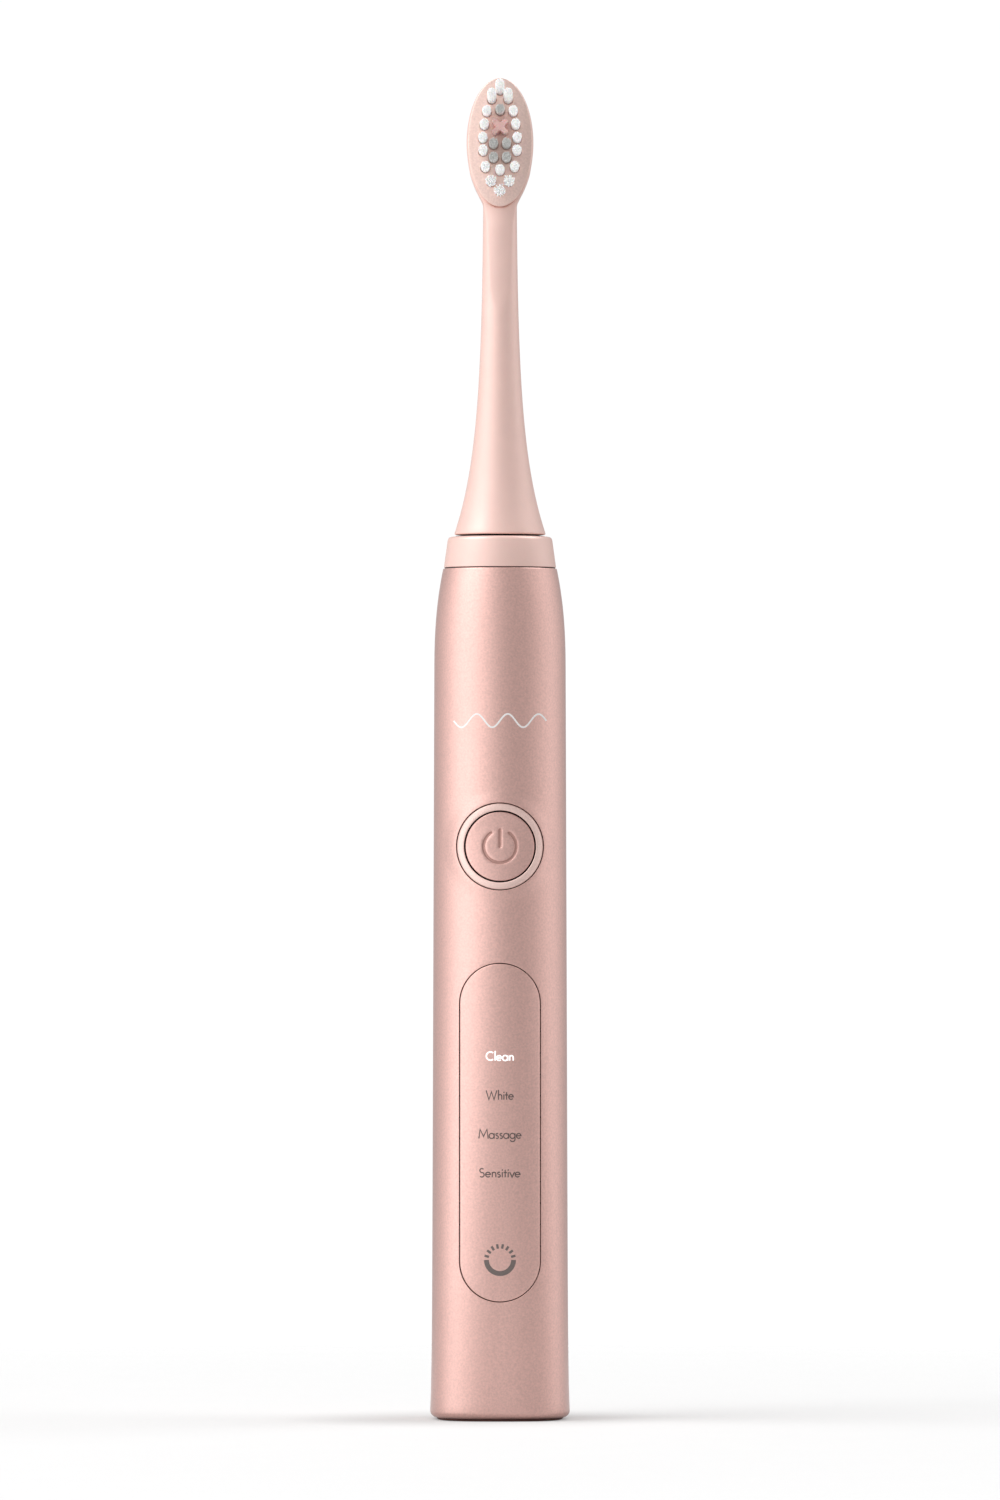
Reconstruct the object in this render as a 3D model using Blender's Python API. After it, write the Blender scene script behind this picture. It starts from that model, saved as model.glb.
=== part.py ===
"""Sonic electric toothbrush, standing on its base, with its brush head pushed on to the drive shaft.

Metres, +Z up. The origin is the middle of the flat base, the handle's axis is Z, and the bristles, the
power button and the display panel face -Y. Every piece is a separate closed solid, placed where it sits
in the assembled toothbrush. Pieces that touch in the real one keep a small gap here.
"""

import math

import bmesh
import bpy
from mathutils import Matrix

MM = 0.001
GAP = 0.3 * MM  # left between solids that would touch
MERGE = 1e-7  # joins the points that a spin leaves on top of each other

# Handle
HANDLE_RADIUS = 12.5 * MM  # at the power button
HANDLE_TAPER = 0.364 * MM  # what the radius gains from the button down to the floor
FOOT_FLARE = 0.38 * MM  # and what the flare adds to that at the foot
FOOT_FLARE_HEIGHT = 6.8 * MM
FOOT_ROUNDING = 1.2 * MM
SHELL_BOTTOM = 0.75 * MM
SHELL_TOP = 160.2 * MM
SHOULDER_START = 141.5 * MM
SHOULDER_DROP = 1.62 * MM
SHOULDER_POWER = 2.4
SQUARING = 0.95  # below the button, the handle's round outline grows this much squarer
SQUARING_START = 97.0 * MM
SQUARING_HEIGHT = 87.0 * MM
WALL = 1.1 * MM
BORE_RADIUS = 11.45 * MM  # the shell's inside, up to its shoulder

# Power button and display panel
BUTTON_HEIGHT = 107.8 * MM
BUTTON_RADIUS = 6.5 * MM
BEZEL_INNER_RADIUS = 6.75 * MM
BEZEL_RADIUS = 8.1 * MM
PANEL_HEIGHT = 54.15 * MM
PANEL_HALF_WIDTH = 7.5 * MM
PANEL_HALF_LENGTH = 31.65 * MM
PANEL_GAP = 0.2 * MM
LABEL_PITCH = 7.25 * MM
TOP_LABEL_HEIGHT = 68.5 * MM
GAUGE_HEIGHT = 30.5 * MM  # the battery gauge

# Collar, drive shaft and motor
COLLAR_TOP = 166.2 * MM
SHAFT_RADIUS = 1.6 * MM
SHAFT_BOTTOM = 116.4 * MM
SHAFT_TOP = 190.0 * MM
MOTOR_RADIUS = 7.5 * MM
MOTOR_BOTTOM = 118.4 * MM
MOTOR_TOP = 157.2 * MM
ROTOR_RADIUS = 3.5 * MM
STATOR_MIDDLE = 137.0 * MM
STATOR_HALF_HEIGHT = 8.0 * MM

# Circuit board, battery and chassis
BOARD_FRONT = -6.2 * MM
BOARD_BACK = -5.2 * MM
BOARD_HALF_WIDTH = 9.3 * MM
BOARD_BOTTOM = 14.0 * MM
BOARD_TOP = 112.5 * MM
BATTERY_RADIUS = 7.0 * MM
BATTERY_MIDDLE = 2.6 * MM  # its axis stands this far behind the handle's
BATTERY_BOTTOM = 17.0 * MM
BATTERY_TOP = 66.0 * MM
CHASSIS_BOTTOM = 13.8 * MM
CHASSIS_TOP = 112.0 * MM
BOARD_SCREW_HEIGHTS = (84.0 * MM, 98.0 * MM)
MOTOR_SCREW_PLACE = 8.4 * MM  # each side of the axis

# Brush head
NECK_BOTTOM = 166.7 * MM
NECK_RADIUS = 3.05 * MM
NECK_FLARE = 5.65 * MM
NECK_FLARE_HEIGHT = 16.4 * MM
HEAD_TOP = 252.8 * MM
HEAD_MIDDLE = 240.5 * MM
HEAD_HALF_WIDTH = 6.3 * MM
HEAD_BACK = 2.1 * MM
HEAD_SEAT = -1.7 * MM  # the flat that the face plate lies on
SCOOP_START = 209.5 * MM  # where the flat on the neck's front begins
SCOOP_END = 228.2 * MM
SCOOP_DEPTH_AT_END = 2.1 * MM
PLATE_HALF_WIDTH = 6.05 * MM
PLATE_HALF_LENGTH = 12.1 * MM
PLATE_FRONT = -3.0 * MM
PLATE_BACK = -2.0 * MM
TUFT_RADIUS = 0.85 * MM
TUFT_HOLE_RADIUS = 1.0 * MM
PEG_HOLE_RADIUS = 1.1 * MM
CROSS_HEIGHT = 243.2 * MM

# Each tuft is (distance from the middle, height of its root, lean of its tip upwards) and comes in a
# pair, one each side, unless it stands in the middle. Lengths are millimetres here.
OUTER_TUFTS_MM = (
    (0.0, 250.2, 0.9),
    (1.55, 248.5, 0.9),
    (2.49, 246.1, 0.0),
    (2.94, 243.6, 0.0),
    (3.22, 241.1, 0.0),
    (3.18, 238.7, 0.0),
    (2.76, 235.6, 0.0),
    (0.0, 235.0, 0.0),
    (1.71, 233.0, -0.25),
    (0.0, 231.3, -0.4),
)
INNER_TUFTS_MM = ((0.0, 246.4, 0.0), (1.22, 240.0, 0.0), (1.22, 237.4, 0.0))
OUTER_TIP = -12.4 * MM
INNER_TIP = -11.6 * MM

ROUND_STEPS = 36  # the handle and what nests in it
MIDDLE_STEPS = 24  # the motor, the battery and the neck
SMALL_STEPS = 16
TUFT_STEPS = 8

COLOURS = {  # colour, roughness, metallic
    "rose_metallic": ((0.70, 0.42, 0.37), 0.36, 0.85),
    "rose_bright": ((0.78, 0.52, 0.46), 0.30, 0.85),
    "blush_plastic": ((0.86, 0.62, 0.55), 0.40, 0.0),
    "blush_rubber": ((0.80, 0.42, 0.40), 0.60, 0.0),
    "white_nylon": ((0.90, 0.90, 0.89), 0.45, 0.0),
    "grey_nylon": ((0.36, 0.37, 0.37), 0.50, 0.0),
    "steel": ((0.60, 0.60, 0.62), 0.28, 1.0),
    "magnet": ((0.42, 0.42, 0.44), 0.30, 1.0),
    "copper": ((0.80, 0.40, 0.22), 0.35, 1.0),
    "nickel": ((0.70, 0.68, 0.62), 0.30, 1.0),
    "battery_wrap": ((0.06, 0.22, 0.42), 0.40, 0.0),
    "black_rubber": ((0.02, 0.02, 0.02), 0.60, 0.0),
    "inner_plastic": ((0.55, 0.55, 0.53), 0.55, 0.0),
    "dark_plastic": ((0.04, 0.04, 0.045), 0.50, 0.0),
    "board": ((0.02, 0.16, 0.07), 0.40, 0.0),
    "led": ((0.90, 0.90, 0.80), 0.25, 0.0),
    "red_wire": ((0.50, 0.03, 0.02), 0.45, 0.0),
    "bearing_bronze": ((0.55, 0.36, 0.18), 0.40, 1.0),
}


# ---------------------------------------------------------------- scene and materials


def clear_scene():
    for obj in list(bpy.data.objects):
        bpy.data.objects.remove(obj)


def material(name):
    found = bpy.data.materials.get(name)
    if found:
        return found
    colour, roughness, metallic = COLOURS[name]
    made = bpy.data.materials.new(name)
    made.use_nodes = True
    shader = made.node_tree.nodes["Principled BSDF"]
    shader.inputs["Base Color"].default_value = (*colour, 1)
    shader.inputs["Roughness"].default_value = roughness
    shader.inputs["Metallic"].default_value = metallic
    return made


def joint_empty(name, location):
    """An empty on a joint's axis, which the pieces that move with it hang from."""
    empty = bpy.data.objects.new(name, None)
    empty.location = location
    bpy.context.scene.collection.objects.link(empty)
    return empty


def piece(name, bm, material_name, parent=None, location=(0, 0, 0), rotation=(0, 0, 0)):
    """Turns a bmesh into an object, shaded smooth apart from its sharp edges."""
    bmesh.ops.recalc_face_normals(bm, faces=bm.faces)
    mesh = bpy.data.meshes.new(name)
    bm.to_mesh(mesh)
    bm.free()
    mesh.shade_smooth()
    mesh.set_sharp_from_angle(angle=math.radians(35))
    mesh.materials.append(material(material_name))
    obj = bpy.data.objects.new(name, mesh)
    bpy.context.scene.collection.objects.link(obj)
    obj.rotation_euler = rotation
    obj.location = location
    if parent:
        obj.parent = parent
        obj.location = obj.location - parent.location
    return obj


def helper(name, bm, location=(0, 0, 0), rotation=(0, 0, 0)):
    """A cutter or another shape that only a Boolean reads."""
    obj = piece(name, bm, "dark_plastic", None, location, rotation)
    obj.hide_render = True
    obj.display_type = "WIRE"
    return obj


def combine(obj, other, operation):
    modifier = obj.modifiers.new(other.name, "BOOLEAN")
    modifier.object = other
    modifier.operation = operation
    modifier.solver = "EXACT"


def cut(obj, *cutters):
    for cutter in cutters:
        combine(obj, cutter, "DIFFERENCE")


def keep_inside(obj, other):
    combine(obj, other, "INTERSECT")


def join(obj, *others):
    for other in others:
        combine(obj, other, "UNION")


# ---------------------------------------------------------------- shapes


FACING_FRONT = (math.radians(90), 0, 0)  # turns a piece's own +Z towards the front, -Y


def millimetres(*points):
    """Points given in millimetres, in metres."""
    return [tuple(value * MM for value in point) for point in points]


def arc(centre, radius, start, end, steps):
    """Points from start to end degrees, counted from the radius direction towards +Z."""
    angles = [math.radians(start + (end - start) * i / steps) for i in range(steps + 1)]
    return [(centre[0] + radius * math.cos(a), centre[1] + radius * math.sin(a)) for a in angles]


def turned(outline, steps=ROUND_STEPS):
    """Spins (radius, height) points round Z. They form a loop, or start and end on the axis."""
    bm = bmesh.new()
    points = [bm.verts.new((radius, 0, height)) for radius, height in outline]
    edges = [bm.edges.new(pair) for pair in zip(points, points[1:])]
    if outline[0][0] > 0:
        edges.append(bm.edges.new((points[-1], points[0])))
    bmesh.ops.spin(bm, geom=points + edges, cent=(0, 0, 0), axis=(0, 0, 1), angle=math.tau,
                   steps=steps, use_merge=True)
    bmesh.ops.remove_doubles(bm, verts=bm.verts, dist=MERGE)
    return bm


def ring(inner, outer, bottom, top, steps=ROUND_STEPS):
    """A plain ring or, with no inner radius, a disc or rod."""
    if inner:
        return turned([(inner, bottom), (outer, bottom), (outer, top), (inner, top)], steps)
    return turned([(0, bottom), (outer, bottom), (outer, top), (0, top)], steps)


def o_ring(centre_radius, height, cord_radius):
    """A round rubber ring, as a loop of short faces."""
    return turned(arc((centre_radius, height), cord_radius, 0, 300, 5))


def block(low, high):
    """A box from its lowest to its highest corner."""
    bm = bmesh.new()
    size = [b - a for a, b in zip(low, high)]
    middle = [(a + b) / 2 for a, b in zip(low, high)]
    bmesh.ops.create_cube(bm, size=1, matrix=Matrix.Translation(middle) @ Matrix.Diagonal((*size, 1)))
    return bm


def prism(outline, back, front):
    """Extrudes an outline of (x, z) points from y = back to y = front."""
    bm = bmesh.new()
    face = bm.faces.new([bm.verts.new((x, back, z)) for x, z in outline])
    grown = bmesh.ops.extrude_face_region(bm, geom=[face])
    moved = [v for v in grown["geom"] if isinstance(v, bmesh.types.BMVert)]
    bmesh.ops.translate(bm, verts=moved, vec=(0, front - back, 0))
    return bm


def circle(radius, middle=(0, 0), steps=ROUND_STEPS):
    return [(x, z) for x, z in arc(middle, radius, 0, 360, steps)[:-1]]


def oval(half_width, half_length, middle, steps=ROUND_STEPS):
    angles = [math.tau * i / steps for i in range(steps)]
    return [(half_width * math.cos(a), middle + half_length * math.sin(a)) for a in angles]


def pill(grow=0.0):
    """The display panel's outline: a tall slot with round ends."""
    radius = PANEL_HALF_WIDTH + grow
    reach = PANEL_HALF_LENGTH - PANEL_HALF_WIDTH
    steps = ROUND_STEPS // 4
    return (arc((0, PANEL_HEIGHT + reach), radius, 0, 180, steps)
            + arc((0, PANEL_HEIGHT - reach), radius, 180, 360, steps))


def wire(name, material_name, radius, points, sides=2):
    """A lead or spring: a round tube through its points."""
    curve = bpy.data.curves.new(name, "CURVE")
    curve.dimensions = "3D"
    curve.bevel_depth = radius
    curve.bevel_resolution = sides - 1
    curve.use_fill_caps = True
    spline = curve.splines.new("POLY")
    spline.points.add(len(points) - 1)
    for place, point in zip(spline.points, points):
        place.co = (*point, 1)
    curve.materials.append(material(material_name))
    obj = bpy.data.objects.new(name, curve)
    bpy.context.scene.collection.objects.link(obj)
    return obj


# ---------------------------------------------------------------- handle shell and its fittings


SKIN_HEIGHTS = [h * MM for h in (160.2, 158.4, 156, 153, 149, 145, 141.5, 97, 80, 62, 42, 22, 12, 6, 1.95)]


def handle_radius(height):
    """The handle's outside: a slight taper, a flare at the foot and a round shoulder at the top."""
    taper = HANDLE_TAPER * (1 - height / BUTTON_HEIGHT)
    flare = FOOT_FLARE * math.exp(-height / FOOT_FLARE_HEIGHT)
    along = max(0.0, (height - SHOULDER_START) / (SHELL_TOP - SHOULDER_START))
    return HANDLE_RADIUS + taper + flare - SHOULDER_DROP * along**SHOULDER_POWER


def squared(bm, beyond=0.0):
    """Turns round outlines into the handle's own, a circle at the top and a soft square at the foot."""
    for vertex in bm.verts:
        radius = math.hypot(vertex.co.x, vertex.co.y)
        if radius > beyond + MERGE:
            down = max(0.0, (SQUARING_START - vertex.co.z) / SQUARING_HEIGHT)
            power = 2 + SQUARING * down**1.5
            grow = (abs(vertex.co.x / radius) ** power + abs(vertex.co.y / radius) ** power) ** (-1 / power)
            vertex.co.x *= grow
            vertex.co.y *= grow
    return bm


def skin(name, offset):
    """A solid of the handle's outside, grown by offset. Front pieces are cut to it."""
    sides = [(handle_radius(h) + offset, h) for h in SKIN_HEIGHTS]
    return helper(name, squared(turned([(0, SHELL_TOP), *sides, (0, SKIN_HEIGHTS[-1])])))


def curved_plate(name, outline, material_name, outer, inner):
    """A plate of the given front outline, bent to the handle, between two offsets from its skin."""
    plate = piece(name, prism(outline, -3 * MM, -16 * MM), material_name)
    keep_inside(plate, skin(name + "_outside", outer))
    cut(plate, skin(name + "_inside", inner))
    return plate


def make_handle_shell():
    outside = [(handle_radius(h), h) for h in SKIN_HEIGHTS]
    foot_centre = (outside[-1][0] - FOOT_ROUNDING, SHELL_BOTTOM + FOOT_ROUNDING)
    foot = arc(foot_centre, FOOT_ROUNDING, 0, -90, 4)[1:]
    inside = [(min(BORE_RADIUS, handle_radius(h) - WALL), h) for h in reversed(SKIN_HEIGHTS)]
    outline = outside + foot + [(BORE_RADIUS, SHELL_BOTTOM)] + inside
    shell = piece("handle_shell", squared(turned(outline)), "rose_metallic")
    cut(shell,
        helper("bezel_opening", prism(circle(BEZEL_RADIUS + PANEL_GAP, (0, BUTTON_HEIGHT)),
                                      -3 * MM, -16 * MM)),
        helper("panel_opening", prism(pill(PANEL_GAP), -3 * MM, -16 * MM)))


def make_button_group():
    button_middle = (0, BUTTON_HEIGHT)
    bezel = curved_plate("button_bezel", circle(BEZEL_RADIUS, button_middle), "rose_bright",
                         0.05 * MM, -1.05 * MM)
    cut(bezel, helper("bezel_bore", prism(circle(BEZEL_INNER_RADIUS, button_middle), 0, -20 * MM)))
    seal = curved_plate("button_seal", circle(7.6 * MM, button_middle, SMALL_STEPS), "black_rubber",
                        -1.7 * MM, -2.2 * MM)
    cut(seal, helper("seal_bore", prism(circle(1.7 * MM, button_middle, SMALL_STEPS), 0, -20 * MM)))

    axis = joint_empty("power_button_axis", (0, 0, BUTTON_HEIGHT))
    cap = curved_plate("button_cap", circle(BUTTON_RADIUS, button_middle), "rose_metallic",
                       -0.05 * MM, -1.05 * MM)
    join(cap, helper("button_post", prism(circle(1.3 * MM, button_middle, SMALL_STEPS),
                                          -9.8 * MM, -11.9 * MM)))
    # The button's own origin goes to its axis, and its mesh stays where it is.
    cap.data.transform(Matrix.Translation((0, 0, -BUTTON_HEIGHT)))
    cap.parent = axis

    switch = piece("tactile_switch", block((-3 * MM, -8.6 * MM, -3 * MM), (3 * MM, -6.5 * MM, 3 * MM)),
                   "dark_plastic", None, (0, 0, BUTTON_HEIGHT))
    cut(switch, helper("plunger_hole", ring(0, 1.65 * MM, 7.0 * MM, 12 * MM, SMALL_STEPS),
                       (0, 0, BUTTON_HEIGHT), FACING_FRONT))
    piece("switch_plunger", ring(0, 1.35 * MM, 7.6 * MM, 9.5 * MM, SMALL_STEPS), "blush_rubber",
          axis, (0, 0, BUTTON_HEIGHT), FACING_FRONT)


def make_display_group():
    curved_plate("display_panel", pill(), "rose_metallic", 0, -1.0 * MM)
    gasket = curved_plate("panel_gasket", pill(0.4 * MM), "black_rubber", -1.5 * MM, -2.1 * MM)
    cut(gasket, helper("gasket_opening", prism(pill(-0.9 * MM), 0, -20 * MM)))

    labels = [TOP_LABEL_HEIGHT - i * LABEL_PITCH for i in range(4)]
    baffle = piece("light_baffle", block((-3.6 * MM, -10.9 * MM, 25 * MM), (3.6 * MM, -6.6 * MM, 74 * MM)),
                   "dark_plastic")
    for number, height in enumerate([*labels, GAUGE_HEIGHT], 1):
        half_height = 1.3 * MM if height in labels else 2.6 * MM
        cut(baffle, helper(f"baffle_window_{number}", block((-2.9 * MM, -20 * MM, height - half_height),
                                                            (2.9 * MM, 0, height + half_height))))
        name = f"mode_led_{number}" if height in labels else "gauge_led"
        piece(name, block((-0.8 * MM, -7.1 * MM, -0.5 * MM), (0.8 * MM, -6.5 * MM, 0.5 * MM)), "led",
              None, (0, 0, height))


# ---------------------------------------------------------------- base, charging coil and battery


def make_base_group():
    cap = turned(millimetres(
        (0, 11.2), (4.0, 11.2), (4.0, 0.5), (4.5, 0), (11.6, 0), (11.9, 0.25), (11.9, 0.45),
        (11.15, 0.45), (11.15, 4.0), (10.5, 4.0), (10.5, 5.6), (11.15, 5.6), (11.15, 8.0),
        (10.2, 8.0), (10.2, 2.0), (5.0, 2.0), (5.0, 12.2), (0, 12.2)))
    piece("base_cap", squared(cap, beyond=10.2 * MM), "rose_metallic")
    piece("base_seal", squared(o_ring(10.98 * MM, 4.8 * MM, 0.42 * MM)), "black_rubber")
    bobbin = turned(millimetres((5.3, 2.3), (9.7, 2.3), (9.7, 3.1), (6.3, 3.1), (6.3, 9.7),
                                (9.7, 9.7), (9.7, 10.5), (5.3, 10.5)), SMALL_STEPS)
    piece("coil_bobbin", bobbin, "inner_plastic")
    piece("charging_coil", ring(6.6 * MM, 9.3 * MM, 3.4 * MM, 9.4 * MM, SMALL_STEPS), "copper")


def make_battery_group():
    middle = (0, BATTERY_MIDDLE, 0)
    cell = turned([(0, BATTERY_BOTTOM), (BATTERY_RADIUS - 0.4 * MM, BATTERY_BOTTOM),
                   (BATTERY_RADIUS, BATTERY_BOTTOM + 0.4 * MM), (BATTERY_RADIUS, BATTERY_TOP - 0.8 * MM),
                   (BATTERY_RADIUS - 0.4 * MM, BATTERY_TOP - 0.4 * MM), (2.6 * MM, BATTERY_TOP - 0.4 * MM),
                   (2.6 * MM, BATTERY_TOP), (0, BATTERY_TOP)], MIDDLE_STEPS)
    piece("battery_cell", cell, "battery_wrap", None, middle)
    for name, height, leg in (("battery_tab_top", BATTERY_TOP + GAP, 3.4 * MM),
                              ("battery_tab_bottom", BATTERY_BOTTOM - GAP, -1.4 * MM)):
        strip = math.copysign(0.3 * MM, leg)
        tab = piece(name, block((-2 * MM, -4.9 * MM, min(height, height + strip)),
                                (2 * MM, 5.0 * MM, max(height, height + strip))), "nickel")
        join(tab, helper(name + "_leg", block((-2 * MM, -4.9 * MM, min(height, height + leg)),
                                              (2 * MM, -4.6 * MM, max(height, height + leg)))))


def make_chassis():
    """A channel, open to the front, with three bulkheads and two pillars for the board's screws."""
    chassis = piece("chassis", ring(0, 11.0 * MM, CHASSIS_BOTTOM, CHASSIS_TOP), "inner_plastic")
    cut(chassis,
        helper("battery_room", ring(0, 10.2 * MM, 15.0 * MM, 70.6 * MM)),
        helper("upper_room", ring(0, 10.2 * MM, 71.8 * MM, 110.5 * MM)),
        helper("chassis_front", block((-20 * MM, -20 * MM, 0), (20 * MM, -4.9 * MM, 200 * MM))))
    for number, height in enumerate(BOARD_SCREW_HEIGHTS, 1):
        pillar = turned(millimetres((0, -2), (1.05, -2), (1.05, 4.8), (2.0, 4.8), (2.0, -10.6),
                                    (0, -10.6)), SMALL_STEPS)
        join(chassis, helper(f"pillar_{number}", pillar, (0, 0, height), FACING_FRONT))
    for number, side in enumerate((-1, 1), 1):
        cut(chassis, helper(f"motor_screw_hole_{number}",
                            ring(0, 1.05 * MM, 105 * MM, 115 * MM, SMALL_STEPS),
                            (side * MOTOR_SCREW_PLACE, 0, 0)))


def make_board_group():
    board = piece("circuit_board", block((-BOARD_HALF_WIDTH, BOARD_FRONT, BOARD_BOTTOM),
                                         (BOARD_HALF_WIDTH, BOARD_BACK, BOARD_TOP)), "board")
    screw = screw_mesh(head_radius=1.5 * MM, head_height=1.0 * MM, shank_radius=0.7 * MM, length=6 * MM)
    for number, height in enumerate(BOARD_SCREW_HEIGHTS, 1):
        cut(board, helper(f"board_hole_{number}", ring(0, 1.05 * MM, 0, 10 * MM, SMALL_STEPS),
                          (0, 0, height), FACING_FRONT))
        piece(f"board_screw_{number}", screw.copy(), "steel",
              None, (0, BOARD_FRONT - GAP, height), FACING_FRONT)
    screw.free()
    piece("controller_chip", block((-2.5 * MM, -7.5 * MM, 88.5 * MM), (2.5 * MM, -6.5 * MM, 93.5 * MM)),
          "dark_plastic")
    piece("charging_inductor", block((-7.2 * MM, -8.3 * MM, 87 * MM), (-3.4 * MM, -6.5 * MM, 91 * MM)),
          "dark_plastic")


def screw_mesh(head_radius, head_height, shank_radius, length):
    """A pan-head screw, head upwards, with its seat at the origin and a cone point below."""
    return turned([(0, head_height), (head_radius * 0.7, head_height), (head_radius, head_height * 0.4),
                   (head_radius, 0), (shank_radius, 0), (shank_radius, shank_radius - length),
                   (0, -length)], 16)


def make_leads():
    for side, name, colour in ((-1, "left", "dark_plastic"), (1, "right", "red_wire")):
        wire(f"coil_lead_{name}", colour, 0.35 * MM, millimetres(
            (side * 4, -8.3, 11.0), (side * 4, -8.5, 12.5), (side * 4, -7.9, 14.5), (side * 4, -7.1, 16.5),
            (side * 4, -6.9, 18.5)))
        wire(f"motor_lead_{name}", colour, 0.35 * MM, millimetres(
            (side * 4.6, -6.9, 108.5), (side * 4.6, -7.1, 111), (side * 4.4, -7.3, 113.5),
            (side * 4.1, -6.5, 116), (side * 3.8, -5.4, 118.1)))


# ---------------------------------------------------------------- collar and motor


def make_collar_group():
    collar = turned(millimetres((4.2, 166.2), (9.1, 166.2)) + arc((9.1 * MM, 165.5 * MM), 0.7 * MM, 80, 10, 3)
                    + millimetres((10.55, 160.5), (9.2, 160.5), (9.2, 157.7), (8.7, 157.7), (8.7, 156.1),
                                  (9.2, 156.1), (9.2, 154.8), (7.9, 154.8), (7.9, 162.6), (4.2, 162.6)))
    piece("top_collar", collar, "blush_plastic")
    piece("collar_seal", o_ring(9.3 * MM, 156.9 * MM, 0.5 * MM), "black_rubber")
    boot = turned(millimetres((1.95, 161.2), (7.4, 161.2), (7.4, 162.3), (3.85, 162.3), (3.85, 165.6),
                              (3.2, 166.4), (1.95, 166.4)), SMALL_STEPS)
    piece("shaft_seal", boot, "black_rubber")
    piece("seal_retainer", ring(2.4 * MM, 7.5 * MM, 157.6 * MM, 160.8 * MM, SMALL_STEPS), "inner_plastic")


def make_motor_frame():
    piece("motor_can", ring(6.9 * MM, MOTOR_RADIUS, MOTOR_BOTTOM, MOTOR_TOP, MIDDLE_STEPS), "steel")
    plate_height = 1.8 * MM
    for name, bottom in (("rear", MOTOR_BOTTOM + GAP), ("front", MOTOR_TOP - plate_height)):
        piece(f"{name}_motor_plate", ring(3.2 * MM, 6.6 * MM, bottom, bottom + plate_height,
                                          MIDDLE_STEPS), "steel")
        piece(f"{name}_bearing", ring(1.9 * MM, 2.9 * MM, bottom, bottom + plate_height, SMALL_STEPS),
              "bearing_bronze")

    cradle = piece("motor_cradle", turned(millimetres((3.0, 113.2), (10.2, 113.2), (10.2, 123.0),
                                                      (7.9, 123.0), (7.9, 118.0), (3.0, 118.0))),
                   "inner_plastic")
    cut(cradle, helper("cradle_lead_slot", block((-5.4 * MM, -20 * MM, 110 * MM),
                                                 (5.4 * MM, -3.4 * MM, 118.2 * MM))))
    screw = screw_mesh(head_radius=1.4 * MM, head_height=1.2 * MM, shank_radius=0.7 * MM, length=7 * MM)
    for number, side in enumerate((-1, 1), 1):
        place = (side * MOTOR_SCREW_PLACE, 0, 0)
        cut(cradle, helper(f"cradle_hole_{number}", ring(0, 1.0 * MM, 112 * MM, 117.6 * MM, 16), place))
        piece(f"motor_screw_{number}", screw.copy(), "steel",
              None, (place[0], 0, 110.2 * MM), (math.pi, 0, 0))
    screw.free()


def make_stator():
    bottom, top = STATOR_MIDDLE - STATOR_HALF_HEIGHT, STATOR_MIDDLE + STATOR_HALF_HEIGHT
    core = piece("stator_core", ring(6.1 * MM, 6.6 * MM, bottom, top, MIDDLE_STEPS), "magnet")
    for side, name in ((-1, "left"), (1, "right")):
        reach = sorted((side * 3.0 * MM, side * 6.3 * MM))
        join(core, helper(f"pole_{name}", block((reach[0], -1.8 * MM, bottom), (reach[1], 1.8 * MM, top))))
        span = sorted((side * 4.2 * MM, side * 4.9 * MM))
        coil = piece(f"stator_coil_{name}", block((span[0], -3.5 * MM, bottom - 1.7 * MM),
                                                  (span[1], 3.5 * MM, top + 1.7 * MM)), "copper")
        cut(coil, helper(f"coil_window_{name}", block((-20 * MM, -2.1 * MM, bottom - GAP),
                                                      (20 * MM, 2.1 * MM, top + GAP))))
    cut(core, helper("rotor_space", ring(0, 3.9 * MM, 100 * MM, 180 * MM, MIDDLE_STEPS)))


def make_drive(axis):
    """What swings: the shaft, its magnets and the ring that holds it, with the spring that centres it."""
    shaft = turned([(0, SHAFT_BOTTOM), (SHAFT_RADIUS, SHAFT_BOTTOM), (SHAFT_RADIUS, SHAFT_BOTTOM + 0.5 * MM),
                    (1.15 * MM, SHAFT_BOTTOM + 0.5 * MM), (1.15 * MM, SHAFT_BOTTOM + 1.5 * MM),
                    (SHAFT_RADIUS, SHAFT_BOTTOM + 1.5 * MM), (SHAFT_RADIUS, SHAFT_TOP - 0.5 * MM),
                    (SHAFT_RADIUS - 0.5 * MM, SHAFT_TOP), (0, SHAFT_TOP)], SMALL_STEPS)
    shaft = piece("drive_shaft", shaft, "steel", axis)
    cut(shaft, helper("shaft_flat", block((-3 * MM, 1.1 * MM, SHAFT_TOP - 14 * MM),
                                          (3 * MM, 3 * MM, SHAFT_TOP + 5 * MM))))
    piece("retaining_ring", ring(1.35 * MM, 2.4 * MM, SHAFT_BOTTOM + 0.7 * MM, SHAFT_BOTTOM + 1.3 * MM,
                                 SMALL_STEPS), "steel", axis)
    for side, name in ((-1, "left"), (1, "right")):
        magnet = piece(f"rotor_magnet_{name}", ring(1.9 * MM, ROTOR_RADIUS, 127 * MM, 147 * MM, SMALL_STEPS),
                       "magnet", axis)
        away = sorted((-side * 10 * MM, side * 0.15 * MM))
        cut(magnet, helper(f"magnet_half_{name}", block((away[0], -10 * MM, 120 * MM),
                                                        (away[1], 10 * MM, 150 * MM))))
    turns, points_per_turn, bottom, top = 4, 12, 121.3 * MM, 126.3 * MM
    count = turns * points_per_turn
    spring = [(2.6 * MM * math.cos(math.tau * i / points_per_turn),
               2.6 * MM * math.sin(math.tau * i / points_per_turn),
               bottom + (top - bottom) * i / count) for i in range(count + 1)]
    wire("return_spring", "steel", 0.25 * MM, spring).parent = axis


# ---------------------------------------------------------------- brush head


def neck_radius(height):
    """The neck's outside, flaring down to its foot."""
    return NECK_RADIUS + NECK_FLARE * math.exp((NECK_BOTTOM - height) / NECK_FLARE_HEIGHT)


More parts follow.
